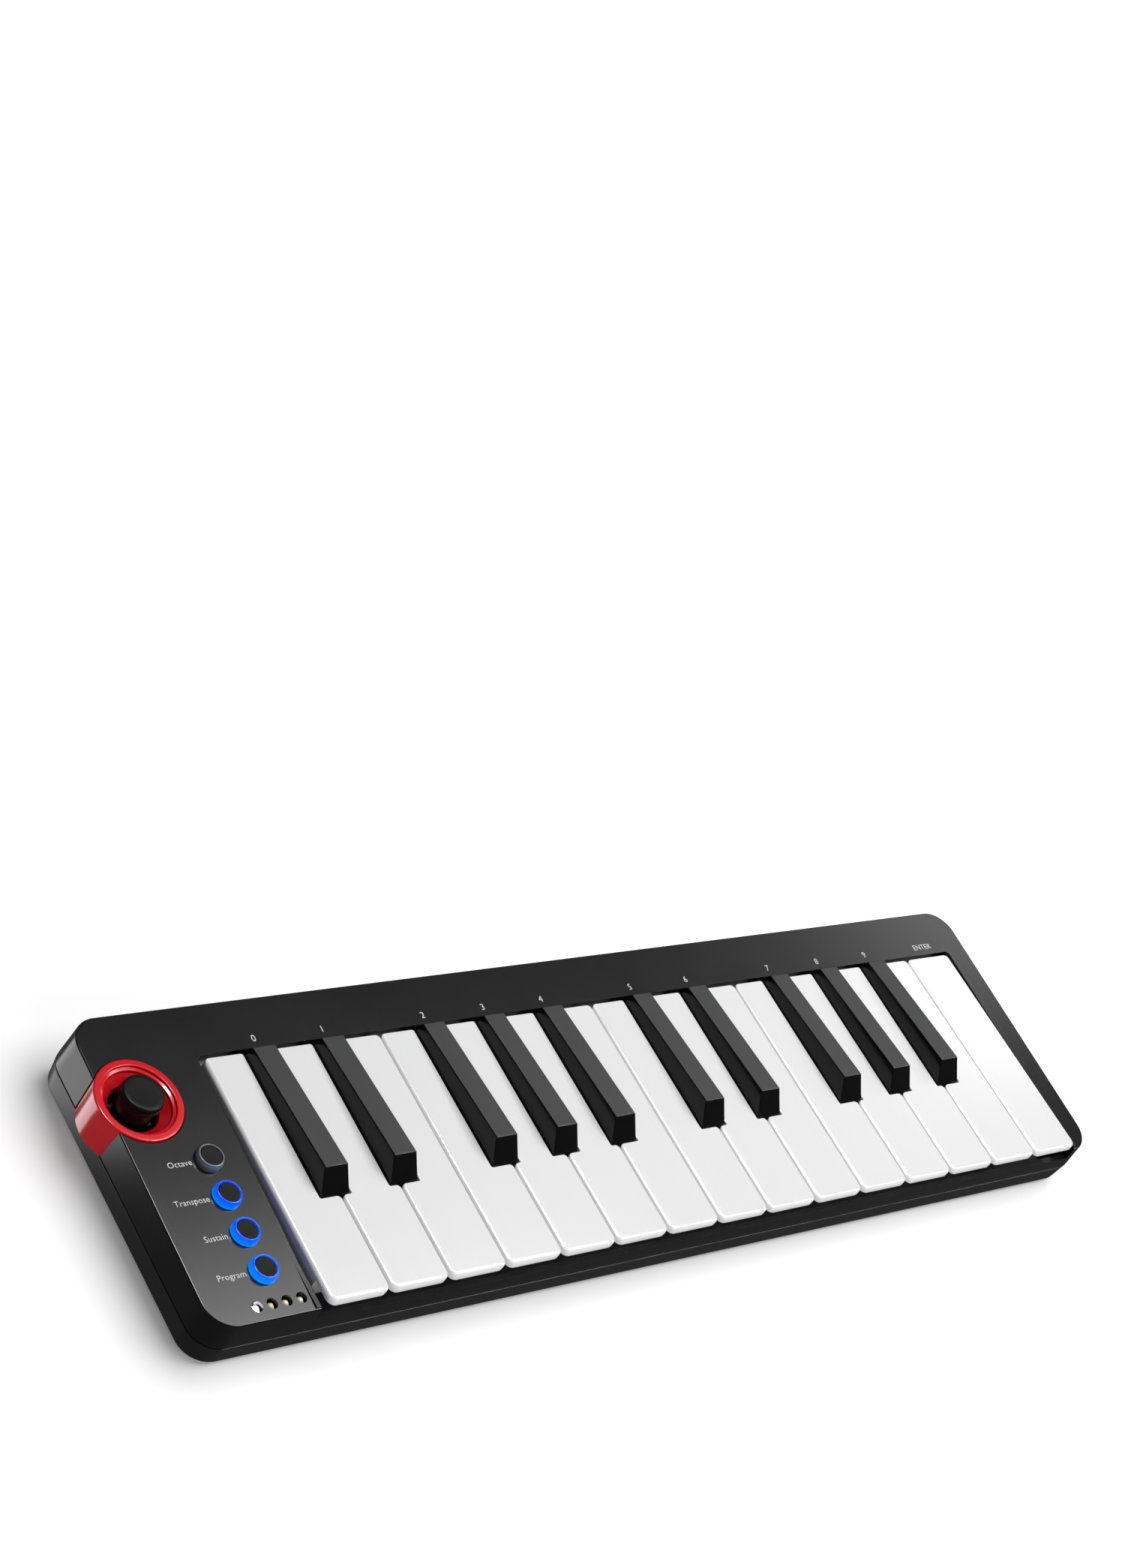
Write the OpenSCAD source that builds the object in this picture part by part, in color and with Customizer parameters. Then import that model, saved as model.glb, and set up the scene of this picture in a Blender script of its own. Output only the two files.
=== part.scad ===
/* [Case] */
// Width of the control panel left of the keys
panel_w = 34; // [30:0.5:60]
// Width of the strip right of the keys
strip_w = 9.3; // [9:0.1:30]
// Depth of the strip behind the keys
back_strip = 16.4; // [15.5:0.1:40]
// Height of the rubber feet below the bottom shell
foot_h = 1.2; // [0.8:0.1:4]
// Height of the bottom shell
bottom_h = 7.6; // [6.8:0.1:9]
// Height of the top plate above the table at its front edge
plate_front = 18.2; // [17.6:0.1:24]
// Rise of the top plate from its front edge to its back edge
plate_rise = 2.9; // [1:0.1:6]
// Height of the front lip below the key noses
lip_z = 13.7; // [11:0.1:14]
// Wall of both shells
wall = 2; // [1.2:0.1:2.6]
// Radius of the upright case corners
corner_r = 8.5; // [5:0.5:12]

/* [Keys] */
// Pitch of the white keys
white_pitch = 20; // [17:0.1:26]
// Length of a white key from its nose to its back end
white_len = 77.9; // [66:0.1:110]
// Length of a white key in front of the black keys
nose_len = 30.2; // [22:0.1:34]
// Height of the white key tops above the table
white_top = 21.5; // [21:0.1:26]
// Gap between two keys
key_gap = 0.6; // [0.4:0.05:1]
// Width of the cut-out that a black key stands in
black_slot_w = 10.5; // [9:0.1:11]
// Width of a black key at the level of the white tops
black_w = 9.5; // [8:0.1:10]
// Width of the top face of a black key
black_top_w = 7.6; // [5:0.1:8]
// Height of a black key above the white tops at its front
black_rise = 6; // [4:0.1:10]
// Height of a black key above the white tops at its back
black_back_rise = 2.9; // [2:0.1:4]
// How far the front face of a black key leans back
black_lean = 5; // [2:0.1:8]
// Thickness of the top and the nose of a white key
key_top_t = 1.8; // [1.4:0.1:2.4]
// Thickness of the side walls of a key
key_wall = 1.4; // [1:0.1:2]
// Travel of a white key at its nose
key_travel = 4; // [2.5:0.1:4.5]
// Radius of the steel rod that the keys turn on
rod_r = 1; // [0.8:0.05:1.3]
// Radial play of the keys on the rod
rod_play = 0.06; // [0.03:0.01:0.1]

/* [Controls] */
// Outer radius of the joystick ring
ring_r = 12.9; // [12:0.1:15]
// Distance of the joystick centre from the left wall
ring_inset = 10.5; // [9.8:0.1:14]
// How far the joystick ring stands above the top plate
ring_proud = 0.5; // [0.3:0.1:1]
// Radius of the hole at the bottom of the joystick dish
dish_hole_r = 7.2; // [7:0.1:8]
// Radius of the joystick cap
stick_cap_r = 6.3; // [5:0.1:6.5]
// Tilt of the joystick each way, in degrees
stick_tilt = 14; // [8:1:15]
// Radius of a push button
button_r = 4; // [3:0.1:4.2]
// Height of a push button above the top plate
button_proud = 2.1; // [1:0.1:3]
// Distance between neighbouring push buttons
button_pitch = 11.3; // [10.5:0.1:14]
// Travel of a push button
button_travel = 0.6; // [0.3:0.05:0.8]
// Distance between neighbouring status lights
led_pitch = 4.65; // [4.2:0.05:6]
// Radius of the hole over a status light
led_hole_r = 1.6; // [1.2:0.1:1.8]

/* [Hidden] */
$fn = 64;

// Number of white keys, and the black keys as [white key to the left, offset from its edge]
white_count = 15;
cs = -1.65;
fs = -2.4;
BLACKS = [
    [0, cs], [1, -cs], [3, fs], [4, 0], [5, -fs],
    [7, cs], [8, -cs], [10, fs], [11, 0], [12, -fs]
];

// Clearances
slot_side_gap = 0.9;
slot_right_gap = 2.4;
slot_back_gap = 1.7;
ring_gap = 0.2;
ring_clear = 3.4;
button_gap = 0.15;
joint_play = 0.05;

// Case outline, with the joystick ring standing out past the left wall
slot_w = white_count * white_pitch + slot_side_gap + slot_right_gap;
case_w = panel_w + slot_w + strip_w;
case_d = white_len + slot_back_gap + back_strip;
ring_out = ring_r - ring_inset;
left_x = -(case_w + ring_out) / 2 + ring_out;
right_x = left_x + case_w;
front_y = -case_d / 2;
back_y = case_d / 2;
mid_x = (left_x + right_x) / 2;
slope = atan(plate_rise / case_d);

// Heights
base_z = foot_h;
floor_t = 2;
floor_z = base_z + floor_t;
part_z = base_z + bottom_h;
// A height above every part, for cuts that run out of the top
above = 40;

// Key slot and keys
slot_x = left_x + panel_w;
slot_back = front_y + white_len + slot_back_gap;
keys_x = slot_x + slot_side_gap;
keys_w = white_count * white_pitch;
nose_y = front_y;
key_back = nose_y + white_len;
tail_y = nose_y + nose_len;
black_gap = (black_slot_w - black_w) / 2;
black_front = tail_y + black_gap;
black_back = key_back - 0.4;
skirt_z = white_top - 8.5;
lip_back = nose_y + 8;

// Pivot rod, key arms and contact domes
arm_end_r = 2.5;
pivot_y = slot_back + 6;
pivot_z = skirt_z;
arm_inset = 1.2;
arm_top = pivot_z + 2.4;
arm_low = pivot_z - 1.8;
black_arm_w = 7.2;
lever = pivot_y - nose_y;
dome_y = pivot_y - 31;
dome_top = pivot_z - 3;
plunger_r = 1.7;

// Keybed frame and key board
frame_z = floor_z + 1;
frame_t = 1.4;
board_z = frame_z + frame_t + 0.6;
board_t = 1.2;
strip_t = 0.6;
rod_rib_t = 1.6;
guide_w = 3;
white_felt_y = nose_y + 18.5;
black_felt_y = black_front + 4;
felt_w = 4;
felt_t = 1.2;
felt_play = 0.15;
white_felt_z = skirt_z - key_travel * (pivot_y - white_felt_y) / lever - felt_play;
black_skirt_z = skirt_z - 1;
black_felt_z = black_skirt_z - key_travel * (pivot_y - black_felt_y) / lever - felt_play;

// Controls
panel_board_z = floor_z + 4.6;
panel_board_t = 1.2;
panel_board_top = panel_board_z + panel_board_t;
led_y = front_y + 4.9;
led_x = slot_x - 4.2;
button_x = slot_x - 11.5;
button_y = led_y + 9.5;
ring_x = left_x + ring_inset;
ring_y = button_y + 3 * button_pitch + button_r + ring_clear + ring_r;
switch_h = 3.6;
switch_w = 6;
switch_floor = 1;
shaft_r = 1.75;
plunger_top = panel_board_top + switch_h + 1;
sleeve_t = 0.8;
flange_t = 0.9;
sleeve_low = plate_front - wall - 1.8;
stick_z = panel_board_top + 3.6;
stick_r = 2;
stick_pin_r = 0.8;
trunnion_r = 0.9;
gimbal_w = 10;
gimbal_d = 8;
gimbal_h = 3.2;
gimbal_bar = 1.5;
housing_w = 2 * dish_hole_r + 1.6;
housing_t = 1;
housing_hole_r = dish_hole_r - 0.1;
ring_top = plate_z(ring_y) + ring_proud;
dish_h = 4.9;
ring_floor = ring_top - dish_h;
housing_h = ring_floor - panel_board_top - 0.1;
cap_top = plate_z(ring_y) + 3.7;
cap_low = cap_top - 3.6;
led_board_z = plate_front - wall - 0.3;
led_board_t = 1;
led_w = 2.2;
led_d = 2;
led_h = 1.6;
usb_x = slot_x - 16;
usb_w = 8.9;
usb_h = 3.2;
usb_len = 7.8;
usb_t = 0.3;

// Fasteners
screw_r = 1.3;
screw_well = 3;
screw_head_h = 1.5;
thread_r = screw_r - 0.2;
pilot_depth = 5;
screw_head_r = 2.4;
boss_r = 2.6;
notch = boss_r + 0.8;
back_boss_y = back_y - wall - boss_r - 0.1;
strip_boss_x = right_x - strip_w / 2 - 0.5;
left_boss_x = left_x + wall + boss_r + 0.6;
CASE_SCREWS = [
    [left_boss_x, front_y + 8.5],
    [left_boss_x, back_boss_y - 1],
    [slot_x - 3, back_boss_y],
    [keys_x + 4 * white_pitch, back_boss_y],
    [keys_x + 8 * white_pitch, back_boss_y],
    [keys_x + 12 * white_pitch, back_boss_y],
    [strip_boss_x, back_boss_y - 1],
    [strip_boss_x, front_y + 12]
];
FRAME_SCREWS = [
    for (k = [0.5, 4.5, 7.5, 10.5, 14.5]) [keys_x + k * white_pitch, front_y + 24],
    for (k = [0.5, 7.5, 14.5]) [keys_x + k * white_pitch, dome_y + 16]
];
foot_r = 5;
foot_recess = 0.6;
foot_in_x = 24;
foot_in_y = 15;
FEET = [
    for (x = [left_x + foot_in_x, right_x - foot_in_x], y = [front_y + foot_in_y, back_y - foot_in_y]) [x, y]
];
BOARD_POSTS = [
    [left_x + 5.5, led_y + 14],
    [slot_x - 5.2, led_y + 4.8],
    [slot_x - 5.2, ring_y],
    [left_x + 15, back_y - 8]
];

// Height of the top plate at a given y
function plate_z(y) = plate_front + (y - front_y) * plate_rise / case_d;
function white_left(k) = keys_x + k * white_pitch;
function black_x(b) = keys_x + (BLACKS[b][0] + 1) * white_pitch + BLACKS[b][1];
// Edges of the narrow tail of white key k, beside the black keys
function tail_left(k) = max([
    white_left(k) + key_gap / 2,
    for (b = [0:9]) if (BLACKS[b][0] + 1 == k) black_x(b) + black_slot_w / 2
]);
function tail_right(k) = min([
    white_left(k + 1) - key_gap / 2,
    for (b = [0:9]) if (BLACKS[b][0] == k) black_x(b) - black_slot_w / 2
]);
function tail_mid(k) = (tail_left(k) + tail_right(k)) / 2;
// White keys with no black key on their left carry a rod rib beside them
RIB_KEYS = [0, 3, 7, 10, 14, 15];

module box(x0, x1, y0, y1, z0, z1) {
    translate([x0, y0, z0])
        cube([x1 - x0, y1 - y0, z1 - z0]);
}

// Rectangle with round corners, centred on the case
module case_outline(inset) {
    w = case_w - 2 * inset;
    d = case_d - 2 * inset;
    r = max(corner_r - inset, 1);
    translate([mid_x, 0]) {
        square([w - 2 * r, d], center = true);
        square([w, d - 2 * r], center = true);
        for (sx = [-1, 1], sy = [-1, 1])
            translate([sx * (w / 2 - r), sy * (d / 2 - r)])
                circle(r);
    }
}

// Everything below a plane parallel to the top plate
module under_plate(drop) {
    translate([mid_x, front_y, plate_front - drop])
        rotate([slope, 0, 0])
            translate([-case_w, -50, -60])
                cube([2 * case_w, case_d + 100, 60]);
}

module post(x, y, z0, z1, r) {
    translate([x, y, z0])
        cylinder(h = z1 - z0, r = r);
}

module top_shell() {
    color([0.09, 0.09, 0.095])
    difference() {
        union() {
            difference() {
                intersection() {
                    translate([0, 0, part_z])
                        linear_extrude(above)
                            case_outline(0);
                    under_plate(0);
                }
                intersection() {
                    translate([0, 0, part_z - 1])
                        linear_extrude(above)
                            case_outline(wall);
                    under_plate(wall);
                }
            }
            intersection() {
                union() {
                    slot_walls();
                    for (p = CASE_SCREWS)
                        post(p[0], p[1], part_z, plate_front + 4, boss_r);
                }
                under_plate(wall / 2);
            }
        }
        // Key slot, open to the front above the lip
        box(slot_x, slot_x + slot_w, front_y - 1, slot_back, lip_z, above);
        box(slot_x, slot_x + slot_w, front_y + wall, slot_back, part_z - 1, above);
        // Joystick, buttons and status lights
        post(ring_x, ring_y, part_z - 1, above, ring_r + ring_gap);
        for (i = [0:3])
            post(button_x, button_y + i * button_pitch, part_z, above, button_r + button_gap);
        for (i = [0:3])
            post(led_x - i * led_pitch, led_y, part_z, above, led_hole_r);
        for (p = CASE_SCREWS)
            post(p[0], p[1], part_z - 1, part_z + pilot_depth, thread_r);
        usb_cut();
    }
}

// Upright walls at the two ends of the key slot
module slot_walls() {
    for (x = [slot_x - 1.5, slot_x + slot_w])
        box(x, x + 1.5, front_y + wall / 2, slot_back, part_z + 3, above);
}

module usb_cut() {
    w = usb_w / 2 + usb_t;
    box(usb_x - w, usb_x + w, back_y - wall - 1, back_y + 1, panel_board_top - 0.2, panel_board_top + usb_h + usb_t);
}

module bottom_shell() {
    color([0.12, 0.12, 0.125])
    difference() {
        union() {
            difference() {
                translate([0, 0, base_z])
                    linear_extrude(bottom_h)
                        case_outline(0);
                translate([0, 0, floor_z])
                    linear_extrude(bottom_h)
                        case_outline(wall);
            }
            for (p = CASE_SCREWS)
                post(p[0], p[1], base_z + 0.5, part_z, boss_r + 0.4);
            for (p = FRAME_SCREWS)
                post(p[0], p[1], base_z + 0.5, frame_z, boss_r);
            for (p = BOARD_POSTS)
                post(p[0], p[1], base_z + 0.5, panel_board_z, boss_r - 0.4);
        }
        for (p = CASE_SCREWS) {
            post(p[0], p[1], base_z - 1, part_z + 1, screw_r + 0.2);
            post(p[0], p[1], base_z - 1, base_z + screw_well, screw_head_r + 0.2);
        }
        for (p = FRAME_SCREWS)
            post(p[0], p[1], floor_z - 1, frame_z + 1, screw_r - 0.3);
        for (p = FEET)
            post(p[0], p[1], base_z - 1, base_z + foot_recess, foot_r + 0.2);
    }
}

module rubber_feet() {
    color([0.05, 0.05, 0.05])
    for (p = FEET)
        translate([p[0], p[1], 0])
            rotate_extrude()
                polygon([
                    [0, 0], [foot_r - foot_recess, 0], [foot_r, foot_recess],
                    [foot_r, base_z + foot_recess], [0, base_z + foot_recess]
                ]);
}

// Pan-head screw with its head at the bottom, seat at z
module screw_up(x, y, z, length) {
    post(x, y, z - screw_head_h, z, screw_head_r);
    post(x, y, z - 0.1, z + length, thread_r);
}

module case_screws() {
    color([0.75, 0.75, 0.78])
    for (p = CASE_SCREWS)
        difference() {
            screw_up(p[0], p[1], base_z + screw_well, part_z - base_z + 1.5);
            for (a = [0, 90])
                translate([p[0], p[1], base_z + screw_well - screw_head_h])
                    rotate([0, 0, a])
                        cube([3, 0.7, 1.4], center = true);
        }
}

module frame_screws() {
    color([0.75, 0.75, 0.78])
    for (p = FRAME_SCREWS) {
        post(p[0], p[1], frame_z + frame_t, frame_z + frame_t + 1.2, screw_head_r);
        post(p[0], p[1], floor_z - 0.6, frame_z + frame_t + 0.1, screw_r - 0.3);
    }
}

// Red ring with a stepped dish; where it passes the left wall it reaches down to the parting line
module joystick_ring() {
    color([0.75, 0.03, 0.06])
    difference() {
        intersection() {
            union() {
                post(ring_x, ring_y, ring_floor, above, ring_r);
                intersection() {
                    post(ring_x, ring_y, part_z, above, ring_r);
                    box(left_x - 20, left_x + wall - 0.2, ring_y - 20, ring_y + 20, 0, above);
                }
            }
            under_plate(-ring_proud);
        }
        translate([ring_x, ring_y, 0])
            rotate_extrude()
                polygon([
                    [0, ring_floor - 1], [dish_hole_r, ring_floor - 1], [dish_hole_r, ring_floor + 1],
                    [ring_r - 3, ring_top - 1.7], [ring_r - 2.9, ring_top - 1.1],
                    [ring_r - 2, ring_top - 0.7], [ring_r - 2, above], [0, above]
                ]);
    }
}

module keybed_frame() {
    x0 = keys_x + 0.2;
    x1 = keys_x + keys_w - 0.2;
    color([0.16, 0.16, 0.17])
    difference() {
        union() {
            box(x0, x1, nose_y + 5, pivot_y + arm_end_r, frame_z, frame_z + frame_t);
            // Rails under the two felt strips
            box(x0, x1, white_felt_y - felt_w / 2, white_felt_y + felt_w / 2, frame_z, white_felt_z - felt_t);
            box(x0, x1, black_felt_y - felt_w / 2, black_felt_y + felt_w / 2, frame_z, black_felt_z - felt_t);
            // Seat of the key board
            for (y = [dome_y - 9, dome_y + 7])
                box(x0, x1, y, y + 2, frame_z, board_z);
            // Guide post inside each white key
            for (k = [0:white_count - 1])
                guide_post(white_left(k) + white_pitch / 2);
            // Ribs that carry the pivot rod
            for (k = RIB_KEYS)
                rod_rib(k);
        }
        translate([x0 - 1, pivot_y, pivot_z])
            rotate([0, 90, 0])
                cylinder(h = keys_w + 2, r = rod_r + joint_play);
        for (p = FRAME_SCREWS)
            post(p[0], p[1], frame_z - 1, frame_z + frame_t + 1, screw_r);
    }
}

module guide_post(x) {
    box(x - guide_w / 2, x + guide_w / 2, lip_back + 2.5, lip_back + 2.5 + guide_w,
        frame_z, white_top - key_top_t - key_travel);
}

// Ribs stand between two keys, and just inside the ends of the keybed
module rod_rib(k) {
    x = k == 0 ? keys_x + 0.2 : k == white_count ? keys_x + keys_w - 1.2 : white_left(k) - rod_rib_t / 2;
    t = k == 0 || k == white_count ? 1 : rod_rib_t;
    box(x, x + t, pivot_y - arm_end_r, pivot_y + arm_end_r, frame_z, pivot_z + arm_end_r);
}

module pivot_rod() {
    color([0.8, 0.8, 0.82])
    translate([keys_x + 0.1, pivot_y, pivot_z])
        rotate([0, 90, 0])
            cylinder(h = keys_w - 0.2, r = rod_r);
}

module key_board() {
    color([0.1, 0.35, 0.15])
    box(keys_x + 1, keys_x + keys_w - 1, dome_y - 10, dome_y + 10, board_z, board_z + board_t);
}

module dome(x) {
    translate([x, dome_y, board_z + board_t])
        cylinder(h = dome_top - board_z - board_t, r1 = 2.6, r2 = 1.9);
}

module dome_strip() {
    color([0.75, 0.75, 0.72])
    union() {
        box(keys_x + 3, keys_x + keys_w - 3, dome_y - 4, dome_y + 4, board_z + board_t, board_z + board_t + strip_t);
        for (k = [0:white_count - 1])
            dome(tail_mid(k));
        for (b = [0:9])
            dome(black_x(b));
    }
}

module stop_felts() {
    color([0.5, 0.1, 0.12]) {
        box(keys_x + 2, keys_x + keys_w - 2, white_felt_y - felt_w / 2, white_felt_y + felt_w / 2,
            white_felt_z - felt_t, white_felt_z);
        box(keys_x + 2, keys_x + keys_w - 2, black_felt_y - felt_w / 2, black_felt_y + felt_w / 2,
            black_felt_z - felt_t, black_felt_z);
    }
}

// Arm from the back of a key to its eye on the pivot rod
module key_arm(x0, x1) {
    difference() {
        union() {
            box(x0, x1, key_back - 4, pivot_y, arm_low, arm_top);
            translate([x0, pivot_y, pivot_z])
                rotate([0, 90, 0])
                    cylinder(h = x1 - x0, r = arm_end_r);
        }
        translate([x0 - 1, pivot_y, pivot_z])
            rotate([0, 90, 0])
                cylinder(h = x1 - x0 + 2, r = rod_r + rod_play);
    }
}

module white_key(k) {
    x0 = white_left(k) + key_gap / 2;
    x1 = white_left(k + 1) - key_gap / 2;
    t0 = tail_left(k);
    t1 = tail_right(k);
    under = white_top - key_top_t;
    nose_r = 2;
    color([0.93, 0.93, 0.92])
    union() {
        difference() {
            union() {
                // Nose with round front corners, and the tail
                translate([0, 0, skirt_z])
                    linear_extrude(white_top - skirt_z) {
                        translate([x0 + nose_r, nose_y])
                            square([x1 - x0 - 2 * nose_r, nose_r * 2]);
                        translate([x0, nose_y + nose_r])
                            square([x1 - x0, nose_len - nose_r]);
                        for (x = [x0 + nose_r, x1 - nose_r])
                            translate([x, nose_y + nose_r])
                                circle(nose_r);
                    }
                box(t0, t1, tail_y - 1, key_back, skirt_z, white_top);
            }
            // Hollow underside, and the free nose in front of it
            box(x0 + key_wall, x1 - key_wall, lip_back + key_wall, tail_y - key_wall, 0, under);
            box(t0 + key_wall, t1 - key_wall, tail_y - 2 * key_wall, key_back - key_wall, 0, under);
            box(x0 - 1, x1 + 1, nose_y - 1, lip_back, 0, under);
        }
        post(tail_mid(k), dome_y, dome_top, white_top - 1, plunger_r);
        key_arm(t0 + arm_inset, t1 - arm_inset);
    }
}

module black_key(b) {
    x = black_x(b);
    w = black_w / 2;
    t = black_top_w / 2;
    top_front = black_front + black_lean;
    front_z = white_top + black_rise;
    back_z = white_top + black_back_rise;
    color([0.07, 0.07, 0.075])
    union() {
        difference() {
            union() {
                box(x - w, x + w, black_front, black_back, black_skirt_z, white_top);
                // Tapered block above the white tops
                translate([x, 0, 0])
                    hull()
                        polyhedron(
                            points = [
                                [-w, black_front, white_top], [w, black_front, white_top],
                                [w, black_back, white_top], [-w, black_back, white_top],
                                [-t, top_front, front_z], [t, top_front, front_z],
                                [t, black_back, back_z], [-t, black_back, back_z]
                            ],
                            faces = [
                                [0, 1, 2, 3], [4, 5, 1, 0], [7, 6, 5, 4],
                                [5, 6, 2, 1], [6, 7, 3, 2], [7, 4, 0, 3]
                            ]
                        );
            }
            box(x - w + key_wall, x + w - key_wall, black_front + key_wall, black_back - key_wall,
                0, white_top - 0.5);
        }
        post(x, dome_y, dome_top, white_top, plunger_r);
        key_arm(x - black_arm_w / 2, x + black_arm_w / 2);
    }
}

module control_board() {
    color([0.08, 0.25, 0.3])
    difference() {
        intersection() {
            translate([0, 0, panel_board_z])
                linear_extrude(panel_board_t)
                    case_outline(wall + 0.8);
            box(left_x, slot_x - 2, front_y, back_y, 0, above);
        }
        // Notches that clear the case bosses
        for (p = CASE_SCREWS) {
            y = p[1] > 0 ? p[1] - notch : p[1] - 10;
            box(p[0] - notch, p[0] + notch, y, y + 10 + notch, 0, above);
        }
    }
}

module switch_bodies() {
    color([0.2, 0.2, 0.2])
    for (i = [0:3])
        difference() {
            translate([button_x, button_y + i * button_pitch, panel_board_top + switch_h / 2])
                cube([switch_w, switch_w, switch_h], center = true);
            post(button_x, button_y + i * button_pitch, panel_board_top + switch_floor, above, shaft_r + joint_play);
        }
}

module plunger(i) {
    color([0.85, 0.85, 0.8])
    post(button_x, button_y + i * button_pitch, panel_board_top + switch_floor + button_travel + 0.2,
        plunger_top, shaft_r);
}

// Translucent sleeve with a flange that stops under the top plate
module sleeve(i) {
    y = button_y + i * button_pitch;
    top = plate_z(y) + button_proud;
    color(i == 3 ? [0.35, 0.4, 0.45] : [0.05, 0.5, 1])
    difference() {
        union() {
            post(button_x, y, sleeve_low, top, button_r);
            post(button_x, y, sleeve_low, sleeve_low + flange_t, button_r + sleeve_t);
        }
        post(button_x, y, sleeve_low - 1, top + 1, button_r - sleeve_t);
    }
}

module button_cap(i) {
    y = button_y + i * button_pitch;
    top = plate_z(y) + button_proud - 0.15;
    color([0.08, 0.08, 0.08])
    union() {
        post(button_x, y, top - 2.2, top, button_r - sleeve_t);
        post(button_x, y, plunger_top, top - 2, 1.5);
    }
}

module ribbon_cable() {
    x0 = slot_x - 6;
    x1 = keys_x + 2.6;
    high = panel_board_top + 1.2;
    color([0.8, 0.8, 0.8])
    translate([0, dome_y - 3, 0])
        rotate([90, 0, 0])
            linear_extrude(10)
                polygon([
                    [x0, panel_board_top], [x0 + 0.6, panel_board_top], [x0 + 0.6, high],
                    [x1 - 0.6, high], [x1 - 0.6, board_z + board_t], [x1, board_z + board_t],
                    [x1, high + 0.6], [x0, high + 0.6]
                ]);
}

module usb_socket() {
    z = panel_board_top;
    color([0.78, 0.78, 0.8])
    translate([usb_x, back_y - wall - 6.5, z + usb_h / 2])
        rotate([-90, 0, 0])
            union() {
                difference() {
                    usb_block(usb_w, usb_h, 0, usb_len);
                    usb_block(usb_w - 2 * usb_t, usb_h - 2 * usb_t, 0.8, usb_len + 1);
                }
                translate([-3.3, -0.35, 0.5])
                    cube([6.6, 0.7, 6.5]);
            }
}

// Block with half-round ends
module usb_block(w, h, z0, z1) {
    translate([0, 0, z0])
        linear_extrude(z1 - z0) {
            square([w - h, h], center = true);
            for (s = [-1, 1])
                translate([s * (w - h) / 2, 0])
                    circle(h / 2);
        }
}

module led_board() {
    color([0.1, 0.35, 0.15])
    union() {
        box(led_x - 3 * led_pitch - 3, led_x + 1.9, led_y - 2.2, led_y + 3.2, led_board_z - led_board_t, led_board_z);
        // Header that carries it on the control board
        box(led_x - 3 * led_pitch, led_x, led_y + 1.6, led_y + 2.8, panel_board_top, led_board_z - led_board_t / 2);
    }
}

module status_leds() {
    color([0.95, 0.9, 0.7])
    for (i = [0:3])
        box(led_x - i * led_pitch - led_w / 2, led_x - i * led_pitch + led_w / 2,
            led_y - led_d / 2, led_y + led_d / 2, led_board_z, led_board_z + led_h);
}

module joystick_housing() {
    z0 = panel_board_top;
    color([0.15, 0.15, 0.15])
    translate([ring_x, ring_y, 0])
        difference() {
            translate([-housing_w / 2, -housing_w / 2, z0])
                cube([housing_w, housing_w, housing_h]);
            translate([housing_t - housing_w / 2, housing_t - housing_w / 2, z0 + 0.8])
                cube([housing_w - 2 * housing_t, housing_w - 2 * housing_t, housing_h - 1.6]);
            translate([0, 0, z0 + 2])
                cylinder(h = housing_h, r = housing_hole_r);
            translate([-housing_w, 0, stick_z])
                rotate([0, 90, 0])
                    cylinder(h = 2 * housing_w, r = trunnion_r + joint_play);
        }
}

// Frame that tilts about X on two trunnions and carries the stick between its sides
module joystick_gimbal() {
    color([0.85, 0.85, 0.8])
    translate([ring_x, ring_y, stick_z])
        difference() {
            union() {
                cube([gimbal_w, gimbal_d, gimbal_h], center = true);
                translate([-housing_w / 2 - 0.2, 0, 0])
                    rotate([0, 90, 0])
                        cylinder(h = housing_w + 0.4, r = trunnion_r);
            }
            cube([gimbal_w - 2 * gimbal_bar, gimbal_d - 2 * gimbal_bar, 2 * gimbal_h], center = true);
            translate([0, -gimbal_d, 0])
                rotate([-90, 0, 0])
                    cylinder(h = 2 * gimbal_d, r = stick_pin_r + joint_play);
        }
}

module joystick_stick() {
    color([0.2, 0.2, 0.2])
    translate([ring_x, ring_y, stick_z])
        union() {
            translate([0, 0, -stick_r])
                cylinder(h = cap_low + 2 - stick_z + stick_r, r = stick_r);
            translate([0, 0.1 - gimbal_d / 2, 0])
                rotate([-90, 0, 0])
                    cylinder(h = gimbal_d - 0.2, r = stick_pin_r);
        }
}

// Mushroom cap with a dished top, and a skirt that hides the housing
module joystick_cap() {
    r = stick_cap_r;
    skirt_low = stick_z + 3.2;
    color([0.06, 0.06, 0.06])
    translate([ring_x, ring_y, 0])
        difference() {
            rotate_extrude()
                polygon([
                    [0, skirt_low], [5.6, skirt_low], [5.4, skirt_low + 1.4], [4.4, cap_low - 0.6],
                    [r - 1.6, cap_low - 0.2], [r, cap_low + 1.2], [r, cap_top - 1.2],
                    [r - 0.9, cap_top], [r - 1.6, cap_top], [r - 2.4, cap_top - 0.25], [0, cap_top - 0.25]
                ]);
            translate([0, 0, skirt_low - 1])
                cylinder(h = cap_low + 2 - skirt_low + 1, r = stick_r);
        }
}

top_shell();
bottom_shell();
joystick_ring();
rubber_feet();
case_screws();
keybed_frame();
frame_screws();
pivot_rod();
key_board();
dome_strip();
stop_felts();
white_key(0);  // white_key_01
white_key(1);  // white_key_02
white_key(2);  // white_key_03
white_key(3);  // white_key_04
white_key(4);  // white_key_05
white_key(5);  // white_key_06
white_key(6);  // white_key_07
white_key(7);  // white_key_08
white_key(8);  // white_key_09
white_key(9);  // white_key_10
white_key(10);  // white_key_11
white_key(11);  // white_key_12
white_key(12);  // white_key_13
white_key(13);  // white_key_14
white_key(14);  // white_key_15
black_key(0);  // black_key_01
black_key(1);  // black_key_02
black_key(2);  // black_key_03
black_key(3);  // black_key_04
black_key(4);  // black_key_05
black_key(5);  // black_key_06
black_key(6);  // black_key_07
black_key(7);  // black_key_08
black_key(8);  // black_key_09
black_key(9);  // black_key_10
control_board();
switch_bodies();
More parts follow.
